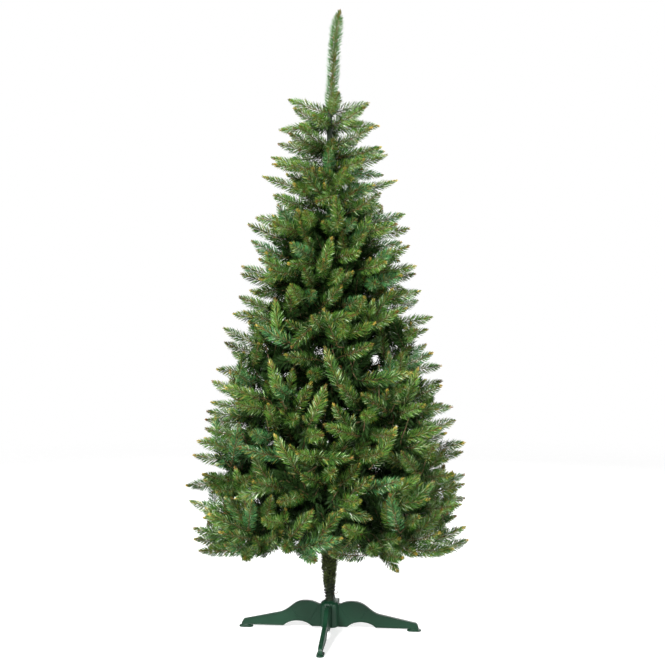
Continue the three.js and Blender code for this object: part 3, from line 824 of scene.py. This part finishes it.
def finish(name, colour, roughness, coarse, fine, amount, bump, gloss):
    """A material whose colour, roughness and bump all come from the mottled finish."""
    material, tree, shader = new_material(name)
    material.use_backface_culling = False
    given = {"Colour": (*colour, 1), "Roughness": roughness, "Coarse": coarse, "Fine": fine, "Amount": amount}
    mottle = add_node(tree, "ShaderNodeGroup", given, node_tree=mottle_group()).outputs
    relief = add_node(tree, "ShaderNodeBump", {"Strength": bump, "Distance": MM, "Height": mottle["Height"]})
    set_inputs(tree, shader, {
        "Base Color": mottle["Colour"],
        "Roughness": mottle["Roughness"],
        "Specular IOR Level": gloss,
        "Normal": relief.outputs[0],
    })
    return material


@functools.lru_cache(maxsize=None)
def material_of(key):
    """The material of a tone of needles or of a part, with its colour from the settings."""
    scene = bpy.context.scene
    settings = scene.tree_stand if hasattr(scene.tree_stand, key) else scene.tree_foliage
    name, *values = FINISHES.get(key, ("needles " + key.replace("_", " "), *NEEDLE_FINISH))
    return finish(name, getattr(settings, key), *values)


# Settings


def colour_property(name, description, default):
    return bpy.props.FloatVectorProperty(
        name=name, description=description, default=default, subtype="COLOR", size=3, min=0, max=1
    )


def length_property(name, description, default, **limits):
    return bpy.props.FloatProperty(
        name=name, description=description, default=default, unit="LENGTH", **limits
    )


class FoliageSettings(bpy.types.PropertyGroup):
    """Sizes and colours of the needles and twigs."""

    needle_length: length_property(
        "Needle length", "Length of the longest needles", NEEDLE["length"] * MM, min=0.01, max=0.06
    )
    needle_width: length_property(
        "Needle width", "Width of a needle's strip", NEEDLE["width"] * MM, min=0.0005, max=0.005
    )
    needles_per_spray: bpy.props.IntProperty(
        name="Needles per spray",
        description="How many needles a spray of full length has",
        default=540,
        min=50,
        max=1200,
    )
    # Painted shade: the colour of the deep sprays, of needles at each spray's foot and a few elsewhere, and
    # of the wire needles inside the crown
    shade: colour_property("Shade", "Needles deep inside and at each spray's foot", (0.011, 0.030, 0.005))
    dark_green: colour_property("Dark green", "Needles of the darker sprays", (0.041, 0.115, 0.014))
    mid_green: colour_property("Mid green", "Needles of the common sprays", (0.082, 0.188, 0.025))
    blue_green: colour_property("Blue green", "Needles of the cooler sprays", (0.056, 0.19, 0.056))
    # Painted highlight: pale needles stand in for glints of light
    pale: colour_property("Pale", "Needles that catch the light, a few in every spray", (0.33, 0.45, 0.22))
    olive: colour_property("Olive", "Needles mixed in with the green ones", (0.205, 0.195, 0.034))
    tip: colour_property("Tip", "Short needles at a spray's tip", (0.42, 0.30, 0.055))
    core: colour_property("Core", "Short brown needles along a spray's wire", (0.19, 0.095, 0.025))
    wire: colour_property("Wire", "Wrapped wire of the twigs and boughs", (0.085, 0.05, 0.016))


class StandSettings(bpy.types.PropertyGroup):
    """Colours of the pole and the stand."""

    plastic: colour_property("Plastic", "Moulded plastic of the legs and the hub", (0.005, 0.029, 0.014))
    pole: colour_property("Pole", "Painted steel of the pole", (0.014, 0.024, 0.012))
    garland: colour_property("Garland", "Short needles round the pole below the crown", (0.11, 0.15, 0.035))
    garland_foot: colour_property("Garland foot", "Dark needles that fill its foot", (0.012, 0.013, 0.006))


class StageSettings(bpy.types.PropertyGroup):
    """The camera and the floor."""

    camera_height: length_property("Camera height", "Height of the lens", 0.861)
    camera_distance: length_property("Camera distance", "From the lens to the pole", 2.912)
    floor_colour: colour_property("Floor", "The plain pale floor", (0.55, 0.55, 0.55))


# Foliage


def is_open(points):
    """Whether points are where light reaches all of a twig: at the crown's lower edge and near its top."""
    low = CROWN["foot"] + OPEN["low"] + OPEN["tilt"] * np.maximum(0, -points[:, 1])
    return (points[:, 2] < low) | (points[:, 2] > OPEN["high"])


def deal_greens(twigs):
    """The green of each spray: a seeded draw among the first three tones, and near the pole the deep tone,
    painted shade.

    At the crown's lower edge, which the floor lights from below, dark green takes the mid green's place:
    painted shade that offsets the floor's light.
    """
    rng = np.random.default_rng(SEED)
    drawn = rng.choice(3, size=len(twigs), p=GREENS)
    tips = twig_arrays(twigs)[2]
    is_low = tips[:, 2] < FULLNESS[0][1]
    # Painted shade: low down, mid green sprays turn dark green to offset the floor's light
    drawn = np.where(is_low & (drawn == TONE["mid_green"]), TONE["dark_green"], drawn)
    depth = np.array([math.hypot(tip[0], tip[1]) / crown_reach(tip[2]) for tip in tips])
    # Painted shade: sprays near the pole take the deep tone, in the shade colour
    is_deep_shade = (depth < rng.uniform(*DEEP_SHADE_WITHIN, len(twigs))) & ~is_open(tips)
    return np.where(is_deep_shade, TONE["deep"], drawn)


def deal_tones(rng, greens, index, share, is_core, is_lit):
    """The tone of each needle: its spray's green, with the other tones dealt over it one after the other."""
    tone = greens[index]
    total = len(tone)
    is_deep_shade = tone == TONE["deep"]
    # Painted highlight: pale needles, a few in every spray
    tone = np.where(rng.random(total) < CHANCE["pale"], TONE["pale"], tone)
    olive = CHANCE["olive"] + CHANCE["olive_cube"] * share**3
    tone = np.where(rng.random(total) < olive, TONE["olive"], tone)
    # Painted shade: the shade tone, most at a spray's foot
    shaded = np.maximum(SHADED["least"], SHADED["foot"] - SHADED["falls"] * share)
    shaded = shaded * np.where(is_lit, SHADED["open"], 1)
    tone = np.where(rng.random(total) < shaded, TONE["shade"], tone)
    tone = np.where(is_core, TONE["core"], tone)
    end_tone = rng.choice([TONE["tip"], TONE["core"]], size=len(greens), p=TIPPED["tip_or_core"])[index]
    most_tipped = rng.uniform(*TIPPED["most"], len(greens))[index]
    tipped = np.minimum(most_tipped, TIPPED["rises"] * (share - TIPPED["from"]))
    tone = np.where(rng.random(total) < tipped, end_tone, tone)
    return np.where(is_deep_shade, TONE["deep"], tone)


def ribbon_angles(along, order, rng):
    """Angles round a wire at distances along it: 2 pi along / pitch, and half a turn on for odd needles."""
    wound = 2 * np.pi * along / RIBBON["pitch"] + np.pi * (order % 2)
    return wound + rng.normal(0, RIBBON["stray"], len(along))


def turned_outs(runs, angles):
    """Directions square to the runs, turned round them by the angles."""
    first, second = cross_frames(runs)
    return np.cos(angles)[:, None] * first + np.sin(angles)[:, None] * second


def spray_needles(twigs, settings):
    """All needles of the sprays: roots, directions and sizes, with the tone that each one takes.

    A needle's share of the way along its spray sets its turn round the wire, its length and its spread.
    """
    rng = np.random.default_rng(SEED + 1)
    lengths = np.array([twig.bristled for twig in twigs])
    greens = deal_greens(twigs)
    _, neck, tip, _ = twig_arrays(twigs)
    fullness = np.where(greens == TONE["deep"], DEEP["fullness"], np.interp(tip[:, 2], *FULLNESS))
    counts = np.round(settings.needles_per_spray * fullness * lengths / spray_length(0)).astype(int)
    index = np.repeat(np.arange(len(twigs)), counts)
    order = np.concatenate([np.arange(count) for count in counts])
    total = len(index)
    share = (order + rng.random(total)) / counts[index]
    runs = unit(tip - neck)[index]
    start = rng.uniform(0, 2 * np.pi, len(twigs))[index]
    outs = turned_outs(runs, start + ribbon_angles(share * lengths[index], order, rng))
    is_core = rng.random(total) < CHANCE["core"]
    long = settings.needle_length / MM * np.interp(share, *LENGTH) * rng.uniform(*VARIED["length"], total)
    long = np.where(is_core, long * CORE_LENGTH, long)
    spread = np.radians(np.interp(share, *SPREAD) + rng.normal(0, VARIED["spread"], total))
    width = settings.needle_width / MM * rng.uniform(*VARIED["width"], total)
    roots = bristled_points(twigs, index, share) + outs * NEEDLE["off_axis"]
    tone = deal_tones(rng, greens, index, share, is_core, is_open(roots))
    width = np.where(tone == TONE["deep"], DEEP["width"], width)
    return (roots, runs, outs, long, spread, width, rng.uniform(0, np.pi, total)), tone


def wire_needles(masses, twigs, settings):
    """Shorter, sparser needles that cover each twig's wire and the outer part of each bough and stem.

    Their places are drawn evenly along the paths, between one point and the next.
    """
    rng = np.random.default_rng(SEED + 2)
    rows = ALONG_WIRE["rows"]
    shares = np.linspace(0, 1, rows)
    limbs = limb_paths(masses, sized(ALONG_WIRE["bough_from"], shares))
    paths = np.concatenate([stalk_paths(twigs, shares), limbs])
    span = np.linalg.norm(np.diff(paths, axis=1), axis=2).sum(axis=1)
    counts = np.round(span * ALONG_WIRE["count"]).astype(int)
    index = np.repeat(np.arange(len(paths)), counts)
    total = len(index)
    place = rng.random(total) * (rows - 1)
    low = np.minimum(place.astype(int), rows - 2)
    step = paths[index, low + 1] - paths[index, low]
    roots = paths[index, low] + step * (place - low)[:, None]
    runs = unit(step)
    outs = turned_outs(runs, rng.uniform(0, 2 * np.pi, total))
    long = settings.needle_length / MM * rng.uniform(*ALONG_WIRE["length"], total)
    spread = np.radians(rng.uniform(*ALONG_WIRE["spread"], total))
    # Painted shade: inside the crown the wire needles are wide, to fill it with the shade colour
    width = np.where(is_open(roots), settings.needle_width / MM, DEEP["width"])
    return roots, runs, outs, long, spread, width, rng.uniform(0, np.pi, total)


class TreeOperator:
    """What the tree's operators share."""

    bl_options = {"REGISTER", "UNDO"}


class TREE_OT_needles(TreeOperator, bpy.types.Operator):
    """Grow the sprays of needles on every twig, one piece for each tone"""

    bl_idname = "tree.needles"
    bl_label = "Needles"

    def execute(self, context):
        settings = context.scene.tree_foliage
        masses, twigs = grow_crown()
        replaced = nodes_named("foliage_")
        sprays, tones = spray_needles(twigs, settings)
        for tone in TONES:
            # The deep sprays are painted shade, in the shade material
            key = "shade" if tone == "deep" else tone
            add_needles("needles_" + tone, sprays, tones == TONE[tone], key, replaced)
        inner = wire_needles(masses, twigs, settings)
        is_lit = is_open(inner[0])
        # Painted shade: wire needles inside the crown take the shade colour, those where light reaches all of
        # a twig dark green
        add_needles("needles_inner_shade", inner, ~is_lit, "shade", replaced)
        add_needles("needles_edge", inner, is_lit, "dark_green", replaced)
        return {"FINISHED"}


class TREE_OT_twigs(TreeOperator, bpy.types.Operator):
    """Draw the wire of every twig, from its foot to its tip"""

    bl_idname = "tree.twigs"
    bl_label = "Twigs"

    def execute(self, context):
        wires = twig_wires(grow_crown()[1])
        add_piece("twigs", *wires, material_of("wire"), "bough_wire", nodes_named("foliage_"))
        return {"FINISHED"}


class TREE_OT_boughs(TreeOperator, bpy.types.Operator):
    """Wind the boughs of wrapped wire and the stems that grow on from them"""

    bl_idname = "tree.boughs"
    bl_label = "Boughs"

    def execute(self, context):
        shares = np.linspace(0, 1, BOUGH["rows"])
        paths = limb_paths(grow_crown()[0], shares)
        base = BOUGH["base_radius"]
        radii = (base + (STEM["radius"] * STEM["end"] - base) * shares) * BOUGH["wire"]
        wires = tubes(paths, np.tile(radii, (len(paths), 1)), BOUGH["sides"], **STRANDS)
        add_piece("boughs", *wires, material_of("wire"), "bough_wire", nodes_named("bough_"))
        return {"FINISHED"}


# Trunk


def leader_spine(share):
    """The leader's axis, a slim S: x = lean * s^power + sway sin(2 pi s), while the height rises evenly."""
    foot = POLE["top"] - BRUSH["sunk"]
    height = foot + (HEIGHT - BRUSH["below_top"] - foot) * share
    x = LEADER["lean"] * share ** BRUSH["lean_power"] + BRUSH["sway"] * np.sin(2 * np.pi * share)
    return np.stack([x, 0 * share, height], axis=-1)


def leader_needles(settings):
    """The leader's needles with their tones, in ribbons like a spray's, shorter and closer near the tip."""
    rng = np.random.default_rng(SEED + 3)
    count = BRUSH["needles"]
    share = (np.arange(count) + rng.random(count)) / count
    runs = unit(leader_spine(share + 0.01) - leader_spine(share))
    angles = ribbon_angles(share * (HEIGHT - POLE["top"] + BRUSH["sunk"]), np.arange(count), rng)
    outs = turned_outs(runs, angles + rng.normal(0, BRUSH_CHANCE["stray"], count))
    near_tip = np.clip((share - BRUSH_TIP["from"]) / (1 - BRUSH_TIP["from"]), 0, 1)
    is_core = rng.random(count) < BRUSH_CHANCE["core"]
    shrink = 1 - BRUSH_TIP["shorter"] * near_tip ** BRUSH_TIP["power"]
    long = BRUSH_NEEDLE["length"] * shrink * rng.uniform(*BRUSH_NEEDLE["varies"], count)
    long = long * np.where(is_core, BRUSH_NEEDLE["core_length"], 1)
    spread = np.radians(BRUSH_NEEDLE["spread"] - BRUSH_TIP["closer"] * near_tip)
    spread = spread + rng.normal(0, BRUSH_NEEDLE["stray"], count)
    width = np.full(count, settings.needle_width / MM)
    roots = leader_spine(share) + outs * BRUSH["off_axis"]
    needles = (roots, runs, outs, long, spread, width, rng.uniform(0, np.pi, count))
    tones = np.where(rng.random(count) < BRUSH_CHANCE["dark"], TONE["dark_green"], TONE["blue_green"])
    inner = np.where(rng.random(count) < BRUSH_CHANCE["brown"], TONE["core"], TONE["olive"])
    tones = np.where(is_core, inner, tones)
    return needles, np.where(rng.random(count) < BRUSH_CHANCE["brown_tip"] * near_tip, TONE["core"], tones)


class TREE_OT_leader(TreeOperator, bpy.types.Operator):
    """Grow the leader, a long upright brush that leans near its top"""

    bl_idname = "tree.leader"
    bl_label = "Leader"

    def execute(self, context):
        needles, tones = leader_needles(context.scene.tree_foliage)
        for tone in BRUSH_TONES:
            add_needles("leader_" + tone, needles, tones == TONE[tone], tone, ["leader"])
        path = leader_spine(np.linspace(0, BRUSH_WIRE["end"], BRUSH_WIRE["points"]))
        radii = np.linspace(*BRUSH_WIRE["radii"], BRUSH_WIRE["points"])
        wires = tubes(path[None], radii[None], BRUSH_WIRE["sides"], BRUSH_WIRE["twist"], BRUSH_WIRE["strand"])
        add_piece("leader_wire", *wires, material_of("wire"), "bough_wire", ["leader"])
        return {"FINISHED"}


def pole_mesh():
    """The pole with its wound band.

    The radius tapers evenly from foot to top. With w as what is left of height / pitch less the share of a
    turn, a ridge stands out by relief * (1 - |w - edge| / edge), and never by less than 0.
    """
    height = np.linspace(POLE["foot"], POLE["top"], POLE["rows"])[:, None]
    angle = circle(POLE["sides"])
    share = (height - POLE["foot"]) / (POLE["top"] - POLE["foot"])
    radius = POLE["foot_radius"] + (POLE["top_radius"] - POLE["foot_radius"]) * share
    wound = (height / BAND["pitch"] - angle / (2 * np.pi)) % 1
    relief = BAND["relief"] * np.clip(1 - np.abs(wound - BAND["edge"]) / BAND["edge"], 0, 1)
    points = turned(radius - BAND["inset"] + relief, angle, height).reshape(-1, 3)
    middles = np.array([[0, 0, POLE["foot"]], [0, 0, POLE["top"]]])
    return np.concatenate([points, middles]), tube_faces(POLE["rows"], POLE["sides"])


class TREE_OT_pole(TreeOperator, bpy.types.Operator):
    """Turn the pole, wrapped in a band that winds round it"""

    bl_idname = "tree.pole"
    bl_label = "Pole"

    def execute(self, context):
        add_piece("pole_wrapped", *pole_mesh(), material_of("pole"), "pole", ["pole"])
        return {"FINISHED"}


def garland_needles():
    """The garland's needles, in ribbons up the pole, longer the higher they are, and which are green."""
    rng = np.random.default_rng(SEED + 4)
    count = GARLAND_NEEDLE["count"]
    share = (np.arange(count) + rng.random(count)) / count
    bottom = GARLAND_NEEDLE["bottom"]
    height = bottom + (GARLAND["top"] + GARLAND_NEEDLE["above"] - bottom) * share
    angle = ribbon_angles(height, np.arange(count), rng) + rng.normal(0, GARLAND_NEEDLE["stray"], count)
    outs = turned(1, angle, 0)
    runs = np.tile([0.0, 0.0, 1.0], (count, 1))
    roots = outs * (POLE["foot_radius"] - GARLAND_NEEDLE["inset"]) + runs * height[:, None]
    reach = np.interp(height, *GARLAND_REACH) - GARLAND_LENGTH["inset"]
    spread = np.radians(rng.uniform(*GARLAND_LENGTH["spread"], count))
    long = reach / np.sin(np.radians(GARLAND_LENGTH["usual_spread"]))
    long = long * rng.uniform(*GARLAND_LENGTH["varies"], count)
    width = np.full(count, GARLAND_NEEDLE["width"])
    needles = (roots, runs, outs, long, spread, width, rng.uniform(0, np.pi, count))
    green = np.minimum(GARLAND_GREEN["most"], GARLAND_GREEN["rises"] * (share - GARLAND_GREEN["from"]))
    return needles, rng.random(count) < green


def garland_end():
    """The loose end of the garland's wire: it runs outward, and coils wider and wider in x and z."""
    turn = np.linspace(0, GARLAND_END["turns"] * 2 * np.pi, GARLAND_END["points"])
    grow = np.linspace(0, 1, GARLAND_END["points"])
    coil = GARLAND_END["coil"]
    (x, y, z), (run_x, run_y) = GARLAND_END_RUN
    across = x + run_x * grow + coil * np.sin(turn) * grow
    path = np.stack([across, y + run_y * grow, z + coil * (1 - np.cos(turn)) * grow], axis=1)
    return tubes(path[None], np.full((1, len(path)), GARLAND_END["radius"]), GARLAND_END["sides"])


class TREE_OT_garland(TreeOperator, bpy.types.Operator):
    """Wind the garland of short needles round the pole's foot: dark below and green above"""

    bl_idname = "tree.garland"
    bl_label = "Garland"

    def execute(self, context):
        needles, is_green = garland_needles()
        for key, chosen in (("garland", is_green), ("garland_foot", ~is_green)):
            add_needles(key + "_needles", needles, chosen, key, ["pole_garland"])
        add_piece("garland_wire_end", *garland_end(), material_of("wire"), "bough_wire", ["pole_garland"])
        return {"FINISHED"}


# Stand


def rounded(corners, radius, hold):
    """A closed outline whose corners are each five points: two before, one cut across it and two after."""
    corners = np.array(corners, dtype=float)
    before = unit(np.roll(corners, 1, axis=0) - corners)
    after = unit(np.roll(corners, -1, axis=0) - corners)
    steps = [
        corners + before * (radius + hold),
        corners + before * radius,
        corners + (before + after) * radius * PLATE_SECTION["corner"],
        corners + after * radius,
        corners + after * (radius + hold),
    ]
    return np.stack(steps, axis=1).reshape(-1, 2)


def curve_heights(x, curves):
    """Heights at x of a chain of cubic curves, each worked out at 24 points and read across between them."""
    corners = np.array(curves, dtype=float)
    points = bezier(*(corners[:, i] for i in range(4)), np.linspace(0, 1, 24)).reshape(-1, 2)
    return np.interp(x, points[:, 0], points[:, 1])


def straight(a, b):
    """The four corners of a cubic curve that is a straight line."""
    a, b = np.array(a, dtype=float), np.array(b, dtype=float)
    return [a, a + (b - a) / 3, b - (b - a) / 3, b]


def join(parts):
    """Several (points, face groups) as one."""
    points, groups, start = [], [], 0
    for part_points, part_groups in parts:
        points.append(part_points)
        groups += [group + start for group in part_groups]
        start += len(part_points)
    return np.concatenate(points), groups


def leg_edges():
    """Distances from the pole along a leg, with the heights of its underside and of its top edge there.

    Both edges are chains of curves over the distance, and the toe is a quarter of an ellipse.
    """
    bottom, hump, knee, shoulder = LEG_FOOT["bottom"], LEG["hump"], LEG["knee"], LEG["shoulder"]
    toe_from = LEG_TOE["from"]
    top_curves = [
        straight((LEG["inner"], shoulder), (LEG["hub_side"], shoulder)),
        [(LEG["hub_side"], shoulder), (40, shoulder + 4), (48, hump), (68, hump)],
        [(68, hump), (108, hump), (112, knee + 9), (146, knee)],
        straight((146, knee), (toe_from, LEG["toe"])),
    ]
    start, end = LEG_FOOT["arch_from"], LEG_FOOT["arch_to"]
    arch_top, curve = LEG_FOOT["arch_top"], LEG_FOOT["arch_curve"]
    arch =[(start, bottom), (start + curve, arch_top), (end - curve, arch_top), (end, bottom)]
    toe = LEG_TOE["tip"] - toe_from
    turn = np.linspace(0, LEG_TOE["turned"] * np.pi / 2, PLATE_SECTION["toe_columns"])[1:]
    along = np.linspace(LEG["inner"], toe_from, PLATE_SECTION["columns"])
    x = np.concatenate([along, toe_from + toe * np.sin(turn)])
    beyond = np.clip((x - toe_from) / toe, 0, 1)
    top = bottom + (curve_heights(x, top_curves) - bottom) * np.sqrt(1 - beyond**2)
    under = np.where((x > start) & (x < end), curve_heights(x, [arch]), bottom)
    return x, under, top


def leg_plate():
    """A leg's plate with its ribs: a section of two flanges and a web is carried out from the hub to the toe.

    The section's lower half keeps to the leg's underside and its upper half to the top edge. Where the leg is
    low, both halves shrink.
    """
    x, under, top = leg_edges()
    web, rib, foot = PLATE["half"], PLATE["rib"], PLATE["foot"]
    high = PLATE_SECTION["high"]
    low_step, high_step = PLATE["foot_depth"], high - PLATE["rib_depth"]
    half = [(foot, 0), (foot, low_step), (web, low_step), (web, high_step), (rib, high_step), (rib, high)]
    y, z = rounded(half + [(-y, z) for y, z in reversed(half)], PLATE["round"], PLATE["hold"]).T
    shrink = np.minimum(1, (top - under) / PLATE_SECTION["least"])[:, None]
    from_top = top[:, None] - (high - z) * shrink
    heights = np.where(high - z < high / 2, from_top, under[:, None] + z * shrink)
    points = np.stack(np.broadcast_arrays(x[:, None], y, heights), axis=-1)
    return points.reshape(-1, 3), [grid_faces(*heights.shape), end_faces(*heights.shape)]


def leg_creases():
    """Two fine straight ridges on each face of the plate: from shoulder to arch, and from hump to arch."""
    lines = np.array(CREASES, dtype=float)
    shares = np.linspace(0, 1, CREASE["points"])[None, :, None]
    x, z = np.moveaxis(lines[:, :1] + (lines[:, 1:] - lines[:, :1]) * shares, -1, 0)
    paths = [np.stack([x, np.full(x.shape, off), z], axis=-1) for off in (-CREASE["off"], CREASE["off"])]
    paths = np.concatenate(paths)
    return tubes(paths, np.full(paths.shape[:2], CREASE["radius"]), CREASE["sides"])


def leg_pad():
    """The foot pad: an oval carried up a profile of (share of its size, height) pairs to a neck."""
    angle = circle(PAD["sides"])
    radius = PAD["width"] / 2
    x = np.cos(angle) * radius + np.sign(np.round(np.cos(angle), 6)) * (PAD["length"] / 2 - radius)
    share, height = np.array(PAD_PROFILE).T[..., None]
    oval = (PAD["centre"] + share * x, share * np.sin(angle) * radius, height)
    points = np.stack(np.broadcast_arrays(*oval), axis=-1)
    size = (len(PAD_PROFILE), PAD["sides"])
    return points.reshape(-1, 3), [grid_faces(*size), end_faces(*size)]


def turned_about_pole(points, degrees):
    """Points turned about the pole's axis."""
    angle = math.radians(degrees)
    c, s = math.cos(angle), math.sin(angle)
    return points @ np.array([[c, s, 0], [-s, c, 0], [0, 0, 1]])


class TREE_OT_legs(TreeOperator, bpy.types.Operator):
    """Mould the four legs: an arched plate with ribs, fine creases and an oval pad"""

    bl_idname = "tree.legs"
    bl_label = "Legs"

    def execute(self, context):
        points, faces = join([leg_plate(), leg_creases(), leg_pad()])
        for number, name in enumerate(LEG_NAMES):
            placed = turned_about_pole(points, 90 * number + LEG["turn"])
            replaced = ["stand_leg_" + name]
            add_piece("leg_" + name, placed, faces, material_of("plastic"), "stand_plastic", replaced)
        return {"FINISHED"}


def hub_mesh():
    """The hub, a closed profile of (distance, height) pairs that is turned about the pole.

    The outside swells into a lobe between each leg and the next, by lobe * cos(4 a + 180), where a is the
    angle from a leg. Two seams beside the leg cut in, each by seam * exp(-((|a| - seam_at) / seam_width)^2).
    """
    bore, side = HUB["bore"], HUB["radius"]
    profile = [(bore, 8), (16, 8), (side - 3, 8), (side - 1, 8.5), (side, 9.6), (side, 12), (side, 40)]
    profile += [(side, 66), (side, 69), (side - 0.5, 72.4), (side - 1.6, 75.4), (side - 3.4, 77.9)]
    profile += [(side - 5.8, 79.7), (side - 8.4, 80.6), (17.2, 81), (16.4, 81.6), (15.9, 82.8), (15.2, 83.6)]
    profile += [(14, 84), (12.6, 83.7), (bore, 82.6), (bore, 50)]
    angle = circle(HUB["sides"])
    reach, height = np.array(profile).T[..., None]
    from_leg = (np.degrees(angle) - LEG["turn"] + 45) % 90 - 45
    seam = HUB["seam"] * np.exp(-(((np.abs(from_leg) - HUB["seam_at"]) / HUB["seam_width"]) ** 2))
    lobe = HUB["lobe"] * np.cos(np.radians(4 * from_leg + 180))
    reach = reach + (lobe - seam) * np.clip((reach - HUB_OUTSIDE["from"]) / HUB_OUTSIDE["over"], 0, 1)
    faces = [grid_faces(len(profile), HUB["sides"], closed_rows=True)]
    return turned(reach, angle, height).reshape(-1, 3), faces


class TREE_OT_hub(TreeOperator, bpy.types.Operator):
    """Mould the hub that holds the pole and the legs"""

    bl_idname = "tree.hub"
    bl_label = "Hub"

    def execute(self, context):
        add_piece("hub", *hub_mesh(), material_of("plastic"), "stand_plastic", ["stand_hub"])
        return {"FINISHED"}


# Stage


class TREE_OT_stage(TreeOperator, bpy.types.Operator):
    """Lay the pale floor, set the lights and place the camera"""

    bl_idname = "tree.stage"
    bl_label = "Stage"

    def execute(self, context):
        scene = context.scene
        self.lay_floor(scene, scene.tree_stage.floor_colour)
        self.place_camera(scene, scene.tree_stage)
        self.set_lights(scene)
        self.light_surround(scene)
        scene.view_settings.view_transform = "Standard"
        return {"FINISHED"}

    def lay_floor(self, scene, colour):
        """A round floor of rings, whose material fades out towards the rim."""
        rings, sides = FLOOR["rings"], FLOOR["sides"]
        reach = np.linspace(FLOOR["inner"], FLOOR["outer"], rings)[:, None]
        points = turned(reach, circle(sides), 0).reshape(-1, 3)
        mesh = bpy.data.meshes.new("floor")
        faces = grid_faces(rings, sides).tolist() + [list(range(sides))]
        mesh.from_pydata(points.tolist(), [], faces)
        floor = bpy.data.objects.new("floor", mesh)
        scene.collection.objects.link(floor)
        material, tree, shader = new_material("pale floor")
        place = add_node(tree, "ShaderNodeTexCoord").outputs["Object"]
        distance = add_node(tree, "ShaderNodeVectorMath", {0: place}, operation="LENGTH").outputs["Value"]
        inputs = {0: distance, 1: FLOOR_FADE[0], 2: FLOOR_FADE[1], 3: 1.0, 4: 0.0}
        fade = add_node(tree, "ShaderNodeMapRange", inputs, interpolation_type="SMOOTHSTEP").outputs[0]
        set_inputs(tree, shader, {
            "Base Color": (*colour, 1),
            "Roughness": FLOOR["roughness"],
            "Emission Color": WHITE,
            "Emission Strength": FLOOR["glow"],
            "Alpha": fade,
        })
        mesh.materials.append(material)

    def place_camera(self, scene, settings):
        """A level camera that looks along +Y, with the pole a little left of its middle."""
        data = bpy.data.cameras.new("camera")
        data.sensor_width = CAMERA["sensor"]
        data.lens = CAMERA["lens"]
        camera = bpy.data.objects.new("camera", data)
        camera.location = (CAMERA["aside"], -settings.camera_distance, settings.camera_height)
        camera.rotation_euler = (math.radians(90), 0, 0)
        scene.collection.objects.link(camera)
        scene.camera = camera

    def set_lights(self, scene):
        """A large key from the upper left, a fill from the right, a top light and one from behind."""
        for name, place, size, power in LIGHTS:
            data = bpy.data.lights.new(name, "AREA")
            data.size = size
            data.energy = power
            lamp = bpy.data.objects.new(name, data)
            lamp.location = place
            aim = np.array(LIGHTS_AIM) - np.array(place)
            tilt = math.atan2(math.hypot(aim[0], aim[1]), -aim[2])
            lamp.rotation_euler = (tilt, 0, math.atan2(aim[1], aim[0]) - math.pi / 2)
            scene.collection.objects.link(lamp)

    def light_surround(self, scene):
        """A surround that the camera sees as white, and that lights the tree only faintly."""
        world = bpy.data.worlds.new("surround")
        world.use_nodes = True
        tree = world.node_tree
        lit = set_inputs(tree, tree.nodes["Background"], {"Color": WHITE, "Strength": SURROUND})
        seen = add_node(tree, "ShaderNodeBackground", {"Color": WHITE, "Strength": 1.0})
        is_camera = add_node(tree, "ShaderNodeLightPath").outputs["Is Camera Ray"]
        inputs = {0: is_camera, 1: lit.outputs[0], 2: seen.outputs[0]}
        pick = add_node(tree, "ShaderNodeMixShader", inputs)
        tree.links.new(pick.outputs[0], tree.nodes["World Output"].inputs["Surface"])
        scene.world = world


OPERATORS = [
    TREE_OT_pole,
    TREE_OT_boughs,
    TREE_OT_twigs,
    TREE_OT_needles,
    TREE_OT_leader,
    TREE_OT_garland,
    TREE_OT_hub,
    TREE_OT_legs,
    TREE_OT_stage,
]


class VIEW3D_PT_tree(bpy.types.Panel):
    """The tree's settings and the steps that build it"""

    bl_label = "Artificial tree"
    bl_idname = "VIEW3D_PT_tree"
    bl_space_type = "VIEW_3D"
    bl_region_type = "UI"
    bl_category = "Tree"

    def draw(self, context):
        for group in (context.scene.tree_foliage, context.scene.tree_stand, context.scene.tree_stage):
            box = self.layout.box()
            for key in group.bl_rna.properties.keys():
                if key not in ("rna_type", "name"):
                    box.prop(group, key)
        for operator in OPERATORS:
            self.layout.operator(operator.bl_idname)


SETTINGS = {"tree_foliage": FoliageSettings, "tree_stand": StandSettings, "tree_stage": StageSettings}


def register():
    for made in (*SETTINGS.values(), *OPERATORS, VIEW3D_PT_tree):
        bpy.utils.register_class(made)
    for name, group in SETTINGS.items():
        setattr(bpy.types.Scene, name, bpy.props.PointerProperty(type=group))


def unregister():
    for name in SETTINGS:
        delattr(bpy.types.Scene, name)
    for made in (VIEW3D_PT_tree, *reversed(OPERATORS), *SETTINGS.values()):
        bpy.utils.unregister_class(made)


def main():
    """Registers the add-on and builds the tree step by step."""
    register()
    for operator in OPERATORS:
        category, name = operator.bl_idname.split(".")
        getattr(getattr(bpy.ops, category), name)()


if __name__ == "__main__":
    main()
